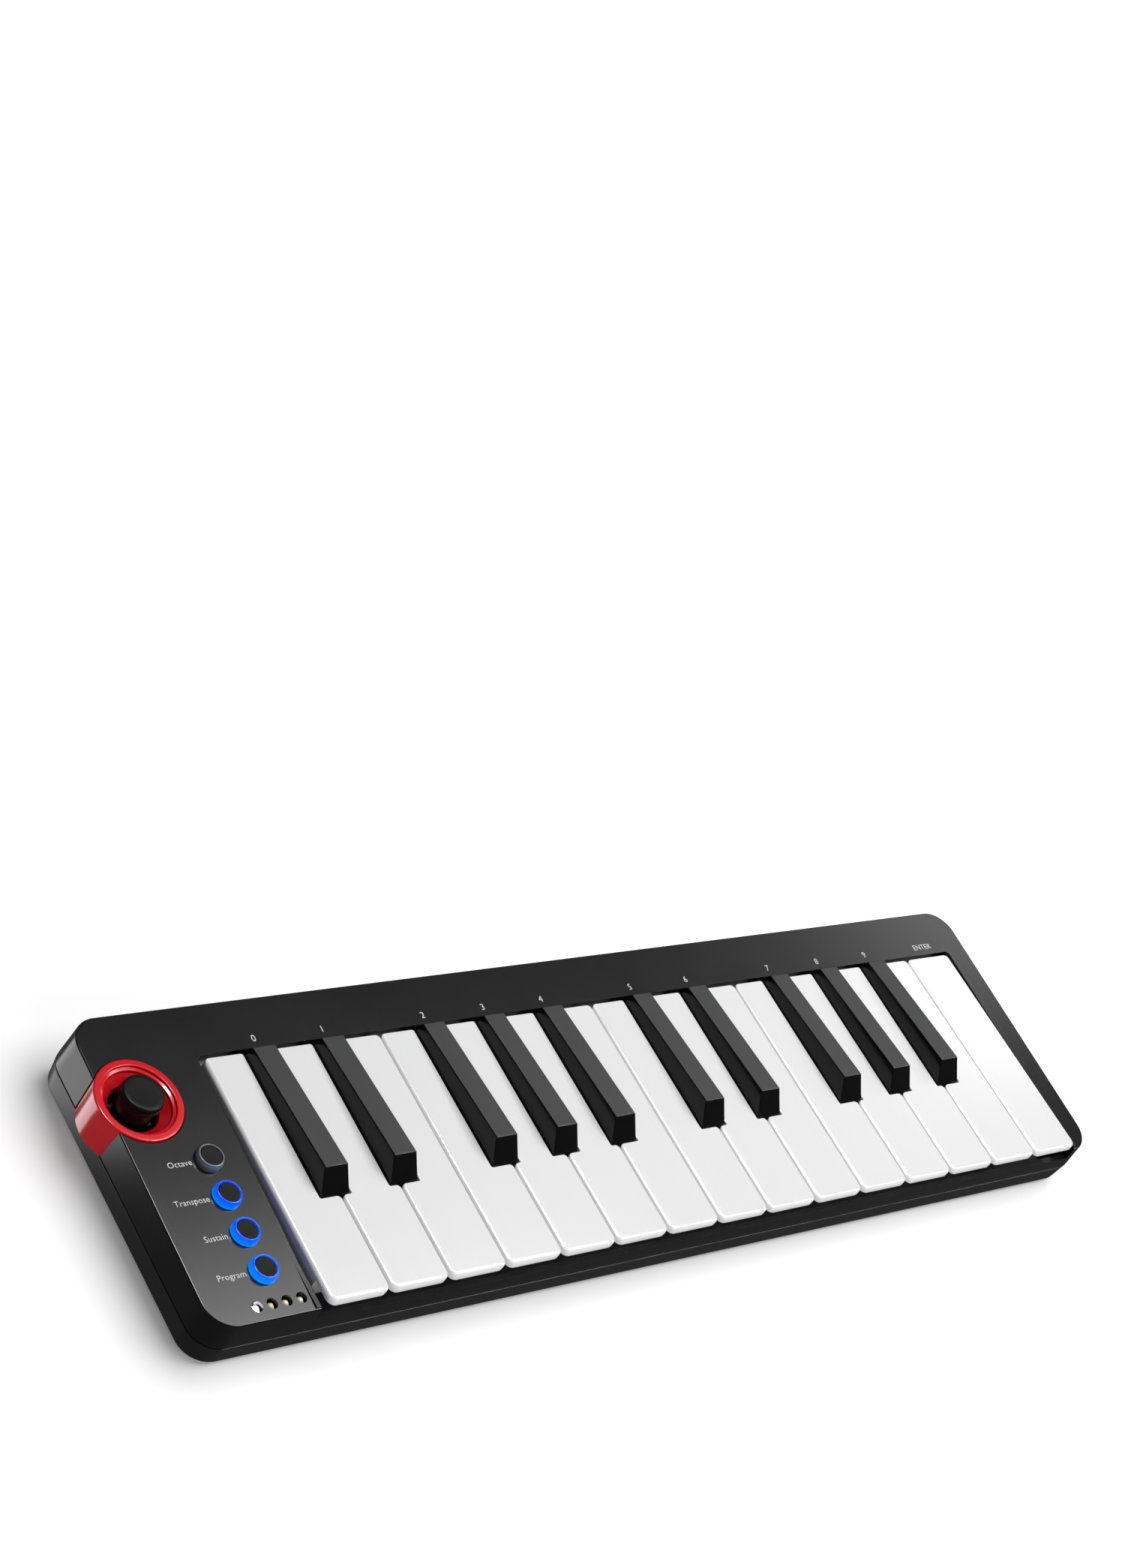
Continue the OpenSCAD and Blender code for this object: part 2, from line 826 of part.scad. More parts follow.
ribbon_cable();
usb_socket();
sleeve(0);  // program_sleeve
sleeve(1);  // sustain_sleeve
sleeve(2);  // transpose_sleeve
sleeve(3);  // octave_sleeve
button_cap(0);  // program_cap
button_cap(1);  // sustain_cap
button_cap(2);  // transpose_cap
button_cap(3);  // octave_cap
plunger(0);  // program_plunger
plunger(1);  // sustain_plunger
plunger(2);  // transpose_plunger
plunger(3);  // octave_plunger
led_board();
status_leds();
joystick_housing();
joystick_gimbal();
joystick_stick();
joystick_cap();
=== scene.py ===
"""A slim 25-key desktop keyboard: satin black case, mini keys, lit buttons, a joystick in a red bezel."""
import math

import bmesh
import bpy
from mathutils import Matrix, Vector


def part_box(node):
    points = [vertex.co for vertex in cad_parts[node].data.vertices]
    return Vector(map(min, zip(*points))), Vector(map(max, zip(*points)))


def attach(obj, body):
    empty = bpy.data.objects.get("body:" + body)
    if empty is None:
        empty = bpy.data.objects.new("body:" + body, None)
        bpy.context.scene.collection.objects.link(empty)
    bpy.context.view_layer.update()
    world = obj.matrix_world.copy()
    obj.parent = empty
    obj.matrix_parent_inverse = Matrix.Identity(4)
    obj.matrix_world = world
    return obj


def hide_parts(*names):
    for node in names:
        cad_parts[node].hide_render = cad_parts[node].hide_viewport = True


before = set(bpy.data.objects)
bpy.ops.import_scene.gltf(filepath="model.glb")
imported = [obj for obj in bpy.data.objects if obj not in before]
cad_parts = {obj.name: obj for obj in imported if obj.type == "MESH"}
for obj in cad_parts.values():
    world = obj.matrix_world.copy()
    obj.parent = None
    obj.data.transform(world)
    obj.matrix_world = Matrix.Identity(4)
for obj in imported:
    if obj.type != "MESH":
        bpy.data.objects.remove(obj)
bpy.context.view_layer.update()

MM = 0.001
UP = Vector((0, 0, 1))

# ---------------------------------------------------------------- places and sizes, from the frame

CASE_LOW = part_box("bottom_shell")[0]
CASE_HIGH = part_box("top_shell")[1]
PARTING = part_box("top_shell")[0].z
PLATE_RISE = 2.9 * MM
PLATE_FRONT = CASE_HIGH.z - PLATE_RISE
PLATE_SLOPE = PLATE_RISE / (CASE_HIGH.y - CASE_LOW.y)
WALL = 2 * MM
FLOOR = CASE_LOW.z + WALL
CASE_CORNER = 8.5 * MM
DRAFT = 0.5 * MM
PARTING_GAP = 0.3 * MM

WHITE_KEYS = [f"white_key_{number:02d}" for number in range(1, 16)]
BLACK_KEYS = [f"black_key_{number:02d}" for number in range(1, 11)]
BUTTONS = ["octave", "transpose", "sustain", "program"]

KEY_GAP = 0.6 * MM
KEY_PITCH = 20 * MM
KEY_LENGTH = 77.9 * MM
NOSE_LENGTH = 30.2 * MM
NOSE_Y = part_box(WHITE_KEYS[0])[0].y
SHOULDER_Y = NOSE_Y + NOSE_LENGTH
KEY_BACK = NOSE_Y + KEY_LENGTH
WHITE_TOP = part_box(WHITE_KEYS[0])[1].z
NOSE_CORNER = 2.4 * MM
TAIL_CORNER = 1.6 * MM
ROLL_WIDE = 1.5 * MM
ROLL_SLIM = 0.35 * MM
ROLL_DEPTH = 0.8  # how deep the roll is, as a share of its width
KEY_SKIN = 1.8 * MM
KEY_WALL = 1.4 * MM
SKIRT_Z = WHITE_TOP - 8.5 * MM
SKIRT_FRONT = NOSE_Y + 8 * MM
ROD_LOW, ROD_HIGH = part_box("pivot_rod")
ROD_Y = (ROD_LOW.y + ROD_HIGH.y) / 2
ROD_Z = (ROD_LOW.z + ROD_HIGH.z) / 2
ROD_HOLE = (ROD_HIGH.z - ROD_LOW.z) / 2 + 0.06 * MM
EYE_RADIUS = 2.5 * MM
DOME_Y = ROD_Y - 31 * MM
CUTOUT = 10.5 * MM
CUTOUT_CORNER = 0.5 * MM
BLACK_WIDTH = 9.5 * MM
BLACK_TOP_WIDTH = 7.6 * MM
BLACK_BACK_RISE = 2.9 * MM
BLACK_LEAN = 5 * MM

SLOT_GAP_LEFT = 0.9 * MM
SLOT_GAP_RIGHT = 2.4 * MM
KEYS_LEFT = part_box(WHITE_KEYS[0])[0].x - KEY_GAP / 2
SLOT_LEFT = KEYS_LEFT - SLOT_GAP_LEFT
SLOT_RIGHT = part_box(WHITE_KEYS[-1])[1].x + KEY_GAP / 2 + SLOT_GAP_RIGHT
SLOT_BACK = KEY_BACK + 1.7 * MM
LIP_Z = 13.7 * MM

RING_LOW, RING_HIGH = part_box("joystick_ring")
RING_RADIUS = (RING_HIGH.y - RING_LOW.y) / 2
RING_X = (RING_LOW.x + RING_HIGH.x) / 2
RING_Y = (RING_LOW.y + RING_HIGH.y) / 2
DISH_HOLE = 7.2 * MM
LED_HOLE = 1.6 * MM
LED_LOW, LED_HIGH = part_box("status_leds")
LED_PITCH = 4.65 * MM
LED_WIDTH = 2.2 * MM
LED_Y = (LED_LOW.y + LED_HIGH.y) / 2
LED_PLACES = [Vector((LED_LOW.x + LED_WIDTH / 2 + n * LED_PITCH, LED_Y, LED_LOW.z)) for n in range(4)]


def plate_z(y):
    """Height of the top plate, which rises towards the back."""
    return PLATE_FRONT + (y - CASE_LOW.y) * PLATE_SLOPE


def middle(node):
    """The centre of a node's box."""
    low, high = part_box(node)
    return (low + high) / 2


# ---------------------------------------------------------------- mesh work

def block(low, high):
    """A bmesh box between two corners."""
    bm = bmesh.new()
    bmesh.ops.create_cube(bm, size=1)
    size = Vector(high) - Vector(low)
    centre = (Vector(high) + Vector(low)) / 2
    bmesh.ops.transform(bm, matrix=Matrix.Translation(centre) @ Matrix.Diagonal((*size, 1)), verts=bm.verts)
    return bm


def round_edges(bm, edges, radius, segments=4):
    """Bevels edges to a round of the given radius."""
    bmesh.ops.bevel(
        bm, geom=edges, offset=radius, offset_type="OFFSET", segments=segments, profile=0.5,
        affect="EDGES", clamp_overlap=True, material=-1,
    )


def upright_edges(bm):
    """The edges that stand along Z."""
    return [e for e in bm.edges if abs((e.verts[0].co - e.verts[1].co).normalized().z) > 0.9]


def edges_where(bm, test):
    """The edges whose midpoint passes a test."""
    return [e for e in bm.edges if test((e.verts[0].co + e.verts[1].co) / 2)]


def rounded_block(low, high, radius, segments=10):
    """A box whose upright edges are rounded."""
    bm = block(low, high)
    round_edges(bm, upright_edges(bm), radius, segments)
    return bm


def case_block(inset, low_z, high_z, low_inset=0.0, high_inset=0.0):
    """A block with the outline of the case, drafted by insets at its two ends."""
    low = CASE_LOW + Vector((inset, inset, 0))
    high = CASE_HIGH - Vector((inset, inset, 0))
    bm = rounded_block((low.x, low.y, low_z), (high.x, high.y, high_z), max(CASE_CORNER - inset, MM), 14)
    centre = (low + high) / 2
    size = high - low
    for end, more in ((low_z, low_inset), (high_z, high_inset)):
        verts = [v for v in bm.verts if abs(v.co.z - end) < 1e-6]
        factor = Vector((1 - 2 * more / size.x, 1 - 2 * more / size.y, 1))
        bmesh.ops.scale(bm, vec=factor, space=Matrix.Translation((-centre.x, -centre.y, 0)), verts=verts)
    return bm


def tilt_top(bm, high_z, drop=0.0):
    """Lays the top of a block on the slope of the plate."""
    for v in bm.verts:
        if abs(v.co.z - high_z) < 1e-6:
            v.co.z = plate_z(v.co.y) - drop


def cylinder(x, y, low_z, high_z, radius, segments=48):
    """An upright cylinder."""
    bm = bmesh.new()
    bmesh.ops.create_cone(
        bm, cap_ends=True, segments=segments, radius1=radius, radius2=radius, depth=high_z - low_z,
        matrix=Matrix.Translation((x, y, (low_z + high_z) / 2)),
    )
    return bm


def cross_rod(left, right, y, z, radius, segments=40):
    """A cylinder that lies along X."""
    bm = bmesh.new()
    bmesh.ops.create_cone(
        bm, cap_ends=True, segments=segments, radius1=radius, radius2=radius, depth=right - left,
        matrix=Matrix.Translation(((left + right) / 2, y, z)) @ Matrix.Rotation(math.pi / 2, 4, "Y"),
    )
    return bm


def filleted(corners, steps=5):
    """Points of a closed outline from corners (x, y, radius), with an arc wherever the radius isn't 0."""
    points = []
    for index, (x, y, radius) in enumerate(corners):
        here = Vector((x, y))
        if not radius:
            points.append(here)
            continue
        before = (Vector(corners[index - 1][:2]) - here).normalized()
        after = (Vector(corners[(index + 1) % len(corners)][:2]) - here).normalized()
        half = before.angle(after) / 2
        centre = here + (before + after).normalized() * radius / math.sin(half)
        start = here + before * radius / math.tan(half) - centre
        end = here + after * radius / math.tan(half) - centre
        for step in range(steps + 1):
            points.append(centre + start.slerp(end, step / steps) * radius)
    return points


def turned(corners, x, y, steps=72):
    """Spins a profile of corners (radius, height, fillet) about an upright axis. A profile that
    starts and ends on the axis is closed there by its poles."""
    bm = bmesh.new()
    verts = [bm.verts.new((r, 0, z)) for r, z in filleted(corners)]
    on_axis = corners[0][0] == 0 and corners[-1][0] == 0
    pairs = list(zip(verts, verts[1:])) if on_axis else list(zip(verts, verts[1:] + verts[:1]))
    edges = [bm.edges.new(pair) for pair in pairs]
    bmesh.ops.spin(
        bm, geom=verts + edges, cent=(0, 0, 0), axis=(0, 0, 1), dvec=(0, 0, 0), angle=2 * math.pi,
        steps=steps, use_merge=True,
    )
    bmesh.ops.remove_doubles(bm, verts=bm.verts, dist=1e-7)
    bmesh.ops.recalc_face_normals(bm, faces=bm.faces)
    bmesh.ops.translate(bm, vec=(x, y, 0), verts=bm.verts)
    return bm


def prism(outline, low_z, high_z):
    """A flat outline made into an upright solid."""
    bm = bmesh.new()
    face = bm.faces.new([bm.verts.new((x, y, low_z)) for x, y in outline])
    made = bmesh.ops.extrude_face_region(bm, geom=[face], use_keep_orig=True)
    moved = [v for v in made["geom"] if isinstance(v, bmesh.types.BMVert)]
    bmesh.ops.translate(bm, vec=(0, 0, high_z - low_z), verts=moved)
    bmesh.ops.recalc_face_normals(bm, faces=bm.faces)
    return bm


def rolled_prism(outline, low_z, high_z, roll_at, steps=6):
    """An upright solid whose top edge is rolled over; roll_at(point, outward) gives the width of the roll."""
    bm = prism(outline, low_z, high_z)
    top = max(bm.faces, key=lambda face: face.calc_center_median().z)
    points = [v.co.xy for v in top.verts]
    inward = []
    for index, here in enumerate(points):
        before = (here - points[index - 1]).normalized()
        after = (points[(index + 1) % len(points)] - here).normalized()
        sides = [Vector((-along.y, along.x)) for along in (before, after)]
        halfway = (sides[0] + sides[1]).normalized()
        inward.append(halfway / max(halfway.dot(sides[0]), 0.5))
    rolls = [roll_at(here, -turn.normalized()) for here, turn in zip(points, inward)]
    for step in range(steps + 1):
        if step:
            top = bmesh.ops.extrude_discrete_faces(bm, faces=[top])["faces"][0]
        angle = math.pi / 2 * step / steps
        for v, here, turn, roll in zip(top.verts, points, inward, rolls):
            v.co.xy = here + turn * roll * (1 - math.cos(angle))
            v.co.z = high_z - ROLL_DEPTH * roll * (1 - math.sin(angle))
    bmesh.ops.recalc_face_normals(bm, faces=bm.faces)
    return bm


def merged(*parts):
    """Several bmeshes as one, for a piece made of separate solids."""
    whole = bmesh.new()
    for part in parts:
        mesh = bpy.data.meshes.new("part")
        part.to_mesh(mesh)
        part.free()
        whole.from_mesh(mesh)
        bpy.data.meshes.remove(mesh)
    return whole


def as_object(bm, name="tool"):
    """Turns a bmesh into an object in the scene."""
    mesh = bpy.data.meshes.new(name)
    bm.to_mesh(mesh)
    bm.free()
    made = bpy.data.objects.new(name, mesh)
    bpy.context.scene.collection.objects.link(made)
    return made


def settle(obj):
    """Applies an object's modifiers to its mesh."""
    bpy.context.view_layer.update()
    graph = bpy.context.evaluated_depsgraph_get()
    mesh = bpy.data.meshes.new_from_object(obj.evaluated_get(graph), depsgraph=graph)
    obj.modifiers.clear()
    old = obj.data
    obj.data = mesh
    bpy.data.meshes.remove(old)
    mesh.name = obj.name


def work(obj, cuts=(), adds=()):
    """Joins solids to an object, then cuts others out of it."""
    tools = []
    for operation, solids in (("UNION", adds), ("DIFFERENCE", cuts)):
        for bm in solids:
            tool = as_object(bm)
            step = obj.modifiers.new(operation.lower(), "BOOLEAN")
            step.operation = operation
            step.solver = "EXACT"
            step.object = tool
            tools.append(tool)
    settle(obj)
    for tool in tools:
        mesh = tool.data
        bpy.data.objects.remove(tool)
        bpy.data.meshes.remove(mesh)


def soften(obj, radius, segments=2, angle=50):
    """Rounds every edge sharper than the angle."""
    step = obj.modifiers.new("soft_edges", "BEVEL")
    step.width = radius
    step.segments = segments
    step.limit_method = "ANGLE"
    step.angle_limit = math.radians(angle)
    step.use_clamp_overlap = True
    step.miter_outer = "MITER_ARC"
    settle(obj)


def shade(obj, sharp=40):
    """Smooth shading that keeps flat faces flat beside their rounded edges."""
    mesh = obj.data
    mesh.polygons.foreach_set("use_smooth", [True] * len(mesh.polygons))
    mesh.set_sharp_from_angle(angle=math.radians(sharp))
    step = obj.modifiers.new("flat_faces", "WEIGHTED_NORMAL")
    step.keep_sharp = True
    step.weight = 80
    settle(obj)


def place(obj, name, body, material, stands_for=()):
    """Names a finished piece, paints it and hangs it on its CAD body."""
    obj.name = name
    obj.data.name = name
    if not obj.data.materials:
        obj.data.materials.append(material)
    else:
        obj.data.materials[0] = material
    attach(obj, body)
    if stands_for:
        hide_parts(*stands_for)
    return obj


# ---------------------------------------------------------------- shader node groups

def new_group(name, inputs, outputs):
    """An empty node group; inputs and outputs are (name, socket type, default)."""
    group = bpy.data.node_groups.new(name, "ShaderNodeTree")
    for label, kind, default in inputs:
        socket = group.interface.new_socket(name=label, in_out="INPUT", socket_type=kind)
        if default is not None:
            socket.default_value = default
    for label, kind in outputs:
        group.interface.new_socket(name=label, in_out="OUTPUT", socket_type=kind)
    return group, group.nodes.new("NodeGroupInput"), group.nodes.new("NodeGroupOutput")


def wire(tree, source, target):
    """Links two sockets."""
    tree.links.new(source, target)


def maths(tree, operation, *values, clamp=False):
    """A Math node; each value is a socket or a number."""
    node = tree.nodes.new("ShaderNodeMath")
    node.operation = operation
    node.use_clamp = clamp
    for index, value in enumerate(values):
        if isinstance(value, (int, float)):
            node.inputs[index].default_value = value
        else:
            wire(tree, value, node.inputs[index])
    return node.outputs[0]


def noise(tree, vector, scale, detail=2.0, rough=0.5):
    """A Noise texture; the scale is a socket or a number."""
    node = tree.nodes.new("ShaderNodeTexNoise")
    node.inputs["Detail"].default_value = detail
    node.inputs["Roughness"].default_value = rough
    wire(tree, vector, node.inputs["Vector"])
    if isinstance(scale, (int, float)):
        node.inputs["Scale"].default_value = scale
    else:
        wire(tree, scale, node.inputs["Scale"])
    return node.outputs["Fac"]


def mix_colour(tree, factor, first, second, blend="MIX"):
    """A Mix node for colours; each value is a socket, a number or a colour."""
    node = tree.nodes.new("ShaderNodeMix")
    node.data_type = "RGBA"
    node.blend_type = blend
    for value, socket in ((factor, node.inputs[0]), (first, node.inputs[6]), (second, node.inputs[7])):
        if isinstance(value, (int, float, tuple)):
            socket.default_value = value
        else:
            wire(tree, value, socket)
    return node.outputs[2]


def build_moulded_grain():
    """The fine spark-eroded texture of a moulded part: a height, and a roughness that follows it."""
    group, given, result = new_group(
        "moulded_grain",
        [("Vector", "NodeSocketVector", None), ("Grain per metre", "NodeSocketFloat", 3500.0),
         ("Roughness", "NodeSocketFloat", 0.45), ("Unevenness", "NodeSocketFloat", 0.1)],
        [("Height", "NodeSocketFloat"), ("Roughness", "NodeSocketFloat")],
    )
    grain = noise(group, given.outputs["Vector"], given.outputs["Grain per metre"], 3.0, 0.6)
    patches = noise(group, given.outputs["Vector"], 60.0, 3.0)
    spread = maths(group, "SUBTRACT", maths(group, "ADD", grain, patches), 1.0)
    uneven = maths(group, "MULTIPLY", spread, given.outputs["Unevenness"])
    rough = maths(group, "ADD", given.outputs["Roughness"], uneven, clamp=True)
    wire(group, grain, result.inputs["Height"])
    wire(group, rough, result.inputs["Roughness"])
    return group


def build_tone_drift():
    """A base colour that wanders a little over the surface, as pigment does."""
    group, given, result = new_group(
        "tone_drift",
        [("Vector", "NodeSocketVector", None), ("Base", "NodeSocketColor", (0.5, 0.5, 0.5, 1)),
         ("Drift", "NodeSocketFloat", 0.08), ("Patches per metre", "NodeSocketFloat", 45.0)],
        [("Colour", "NodeSocketColor")],
    )
    cloud = noise(group, given.outputs["Vector"], given.outputs["Patches per metre"], 4.0, 0.55)
    swing = maths(group, "MULTIPLY", maths(group, "SUBTRACT", cloud, 0.5), given.outputs["Drift"])
    level = maths(group, "ADD", maths(group, "MULTIPLY", swing, 2.0), 1.0)
    grey = group.nodes.new("ShaderNodeCombineColor")
    for index in range(3):
        wire(group, level, grey.inputs[index])
    shaded = mix_colour(group, 1.0, given.outputs["Base"], grey.outputs[0], "MULTIPLY")
    wire(group, shaded, result.inputs["Colour"])
    return group


def build_edge_wear():
    """A mask of rounded edges, broken up by noise, where a lighter grey is painted on as an edge highlight.
    """
    group, given, result = new_group(
        "painted_edge_sheen",
        [("Vector", "NodeSocketVector", None), ("Width", "NodeSocketFloat", 0.0006),
         ("Amount", "NodeSocketFloat", 0.5)],
        [("Mask", "NodeSocketFloat")],
    )
    round_normal = group.nodes.new("ShaderNodeBevel")
    round_normal.samples = 4
    wire(group, given.outputs["Width"], round_normal.inputs["Radius"])
    true_normal = group.nodes.new("ShaderNodeNewGeometry")
    dot = group.nodes.new("ShaderNodeVectorMath")
    dot.operation = "DOT_PRODUCT"
    wire(group, round_normal.outputs["Normal"], dot.inputs[0])
    wire(group, true_normal.outputs["Normal"], dot.inputs[1])
    edge = maths(group, "MULTIPLY", maths(group, "SUBTRACT", 1.0, dot.outputs["Value"]), 4.0, clamp=True)
    patches = noise(group, given.outputs["Vector"], 900.0, 3.0, 0.7)
    broken = maths(group, "MULTIPLY", edge, maths(group, "ADD", patches, 0.25), clamp=True)
    wire(group, maths(group, "MULTIPLY", broken, given.outputs["Amount"]), result.inputs["Mask"])
    return group


def build_settled_dust():
    """A faint mask of dust on faces that look up."""
    group, given, result = new_group(
        "settled_dust",
        [("Vector", "NodeSocketVector", None), ("Facing", "NodeSocketVector", None),
         ("Amount", "NodeSocketFloat", 0.1)],
        [("Mask", "NodeSocketFloat")],
    )
    axes = group.nodes.new("ShaderNodeSeparateXYZ")
    wire(group, given.outputs["Facing"], axes.inputs[0])
    specks = noise(group, given.outputs["Vector"], 1600.0, 2.0, 0.7)
    haze = noise(group, given.outputs["Vector"], 25.0, 3.0)
    lot = maths(group, "MULTIPLY", maths(group, "GREATER_THAN", specks, 0.68), haze)
    upward = maths(group, "MAXIMUM", axes.outputs["Z"], 0.0)
    settled = maths(group, "MULTIPLY", lot, upward)
    wire(group, maths(group, "MULTIPLY", settled, given.outputs["Amount"]), result.inputs["Mask"])
    return group


MOULDED_GRAIN = build_moulded_grain()
TONE_DRIFT = build_tone_drift()
PAINTED_EDGE_SHEEN = build_edge_wear()
SETTLED_DUST = build_settled_dust()
# a lighter grey painted on rounded edges as a highlight
PAINTED_SHEEN_GREY = (0.16, 0.16, 0.16, 1)
DUST_GREY = (0.55, 0.54, 0.5, 1)


def place_group(tree, group, **values):
    """Puts a node group in a material; spaces in an input's name are written as underscores."""
    node = tree.nodes.new("ShaderNodeGroup")
    node.node_tree = group
    for label, value in values.items():
        socket = node.inputs[label.replace("_", " ")]
        if hasattr(value, "is_linked"):
            wire(tree, value, socket)
        else:
            socket.default_value = value
    return node.outputs


def blank_material(name):
    """A material with its node tree, shader and object coordinates."""
    material = bpy.data.materials.new(name)
    material.use_nodes = True
    tree = material.node_tree
    shader = next(n for n in tree.nodes if n.type == "BSDF_PRINCIPLED")
    coords = tree.nodes.new("ShaderNodeTexCoord")
    return material, tree, shader, coords


def moulded(name, colour, roughness, grain=3500.0, depth=0.02, drift=0.06, uneven=0.08, painted_sheen=0.0, dust=0.0,
            coat=0.0, specular=0.5):
    """A moulded finish: grain (depth in mm), tone drift and, where asked, a painted edge highlight and dust.
    """
    material, tree, shader, coords = blank_material(name)
    vector = coords.outputs["Object"]
    grain_out = place_group(
        tree, MOULDED_GRAIN, Vector=vector, Grain_per_metre=grain, Roughness=roughness, Unevenness=uneven)
    tone = place_group(tree, TONE_DRIFT, Vector=vector, Base=(*colour, 1), Drift=drift)["Colour"]
    rough = grain_out["Roughness"]
    if painted_sheen:
        mask = place_group(tree, PAINTED_EDGE_SHEEN, Vector=vector, Amount=painted_sheen)["Mask"]
        # painted highlight: rounded edges are mixed towards a lighter grey
        tone = mix_colour(tree, mask, tone, PAINTED_SHEEN_GREY)
        rough = maths(tree, "SUBTRACT", rough, maths(tree, "MULTIPLY", mask, 0.15), clamp=True)
    if dust:
        facing = coords.outputs["Normal"]
        mask = place_group(tree, SETTLED_DUST, Vector=vector, Facing=facing, Amount=dust)["Mask"]
        tone = mix_colour(tree, mask, tone, DUST_GREY)
    wire(tree, tone, shader.inputs["Base Color"])
    wire(tree, rough, shader.inputs["Roughness"])
    bump = tree.nodes.new("ShaderNodeBump")
    bump.inputs["Strength"].default_value = 0.35
    bump.inputs["Distance"].default_value = depth * MM
    wire(tree, grain_out["Height"], bump.inputs["Height"])
    wire(tree, bump.outputs["Normal"], shader.inputs["Normal"])
    shader.inputs["Coat Weight"].default_value = coat
    shader.inputs["Coat Roughness"].default_value = 0.1
    shader.inputs["Specular IOR Level"].default_value = specular
    return material


def lit_sleeve(name, low_z, high_z, deep, bright, strength):
    """Translucent plastic with light inside: bright at its foot, deeper towards its rim."""
    material = moulded(name, deep, 0.28, grain=2500.0, depth=0.01, coat=0.4)
    tree = material.node_tree
    shader = next(n for n in tree.nodes if n.type == "BSDF_PRINCIPLED")
    coords = next(n for n in tree.nodes if n.type == "TEX_COORD")
    axes = tree.nodes.new("ShaderNodeSeparateXYZ")
    wire(tree, coords.outputs["Object"], axes.inputs[0])
    share = tree.nodes.new("ShaderNodeMapRange")
    share.inputs["From Min"].default_value = low_z
    share.inputs["From Max"].default_value = high_z
    wire(tree, axes.outputs["Z"], share.inputs["Value"])
    cloud = noise(tree, coords.outputs["Object"], 700.0, 2.0)
    uneven = maths(tree, "MULTIPLY", maths(tree, "SUBTRACT", cloud, 0.5), 0.35)
    factor = maths(tree, "ADD", share.outputs["Result"], uneven, clamp=True)
    wire(tree, mix_colour(tree, factor, (*bright, 1), (*deep, 1)), shader.inputs["Emission Color"])
    shader.inputs["Emission Strength"].default_value = strength
    return material


def two_finish_black(name, painted_lit_top_colour, side_colour, top_roughness, side_roughness):
    """Black key plastic: a matt, grained top face over glossier sides; the top face is also given a lighter
    grey than the sides, painted light on the matt top.
    """
    material, tree, shader, coords = blank_material(name)
    vector = coords.outputs["Object"]
    axes = tree.nodes.new("ShaderNodeSeparateXYZ")
    wire(tree, coords.outputs["Normal"], axes.inputs[0])
    top = maths(tree, "GREATER_THAN", axes.outputs["Z"], 0.9)
    grain_out = place_group(
        tree, MOULDED_GRAIN, Vector=vector, Grain_per_metre=5200.0, Roughness=top_roughness, Unevenness=0.1)
    tone = place_group(tree, TONE_DRIFT, Vector=vector, Base=(*painted_lit_top_colour, 1), Drift=0.08)["Colour"]
    # painted light: faces that look up get the lighter top grey, the rest the near-black side grey
    wire(tree, mix_colour(tree, top, (*side_colour, 1), tone), shader.inputs["Base Color"])
    step = tree.nodes.new("ShaderNodeMix")
    step.inputs[2].default_value = side_roughness
    wire(tree, top, step.inputs[0])
    wire(tree, grain_out["Roughness"], step.inputs[3])
    wire(tree, step.outputs[0], shader.inputs["Roughness"])
    bump = tree.nodes.new("ShaderNodeBump")
    bump.inputs["Strength"].default_value = 0.3
    bump.inputs["Distance"].default_value = 0.01 * MM
    wire(tree, maths(tree, "MULTIPLY", grain_out["Height"], top), bump.inputs["Height"])
    wire(tree, bump.outputs["Normal"], shader.inputs["Normal"])
    shader.inputs["Specular IOR Level"].default_value = 0.25
    return material


def brushed_metal(name, colour, roughness, along):
    """Metal with fine lines drawn out along one axis."""
    material, tree, shader, coords = blank_material(name)
    mapping = tree.nodes.new("ShaderNodeMapping")
    mapping.inputs["Scale"].default_value = along
    wire(tree, coords.outputs["Object"], mapping.inputs["Vector"])
    lines = noise(tree, mapping.outputs["Vector"], 6000.0, 3.0, 0.65)
    rough = maths(tree, "ADD", maths(tree, "MULTIPLY", lines, 0.2), roughness - 0.1)
    tone_out = place_group(tree, TONE_DRIFT, Vector=coords.outputs["Object"], Base=(*colour, 1), Drift=0.1)
    tone = tone_out["Colour"]
    wire(tree, tone, shader.inputs["Base Color"])
    wire(tree, rough, shader.inputs["Roughness"])
    bump = tree.nodes.new("ShaderNodeBump")
    bump.inputs["Strength"].default_value = 0.2
    bump.inputs["Distance"].default_value = 0.01 * MM
    wire(tree, lines, bump.inputs["Height"])
    wire(tree, bump.outputs["Normal"], shader.inputs["Normal"])
    shader.inputs["Metallic"].default_value = 1.0
    return material


def circuit_board(name, mask, bare):
    """Solder mask over tracks that show as slightly lighter, raised lines."""
    material, tree, shader, coords = blank_material(name)
    cells = tree.nodes.new("ShaderNodeTexVoronoi")
    cells.distance = "MANHATTAN"
    cells.feature = "DISTANCE_TO_EDGE"
    cells.inputs["Scale"].default_value = 260.0
    wire(tree, coords.outputs["Object"], cells.inputs["Vector"])
    track = maths(tree, "LESS_THAN", cells.outputs["Distance"], 0.07)
    tone_out = place_group(tree, TONE_DRIFT, Vector=coords.outputs["Object"], Base=(*mask, 1), Drift=0.1)
    wire(tree, mix_colour(tree, track, tone_out["Colour"], (*bare, 1)), shader.inputs["Base Color"])
    bump = tree.nodes.new("ShaderNodeBump")
    bump.inputs["Distance"].default_value = 0.03 * MM
    wire(tree, track, bump.inputs["Height"])
    wire(tree, bump.outputs["Normal"], shader.inputs["Normal"])
    rough = maths(tree, "ADD", maths(tree, "MULTIPLY", track, 0.12), 0.3)
    wire(tree, rough, shader.inputs["Roughness"])
    return material


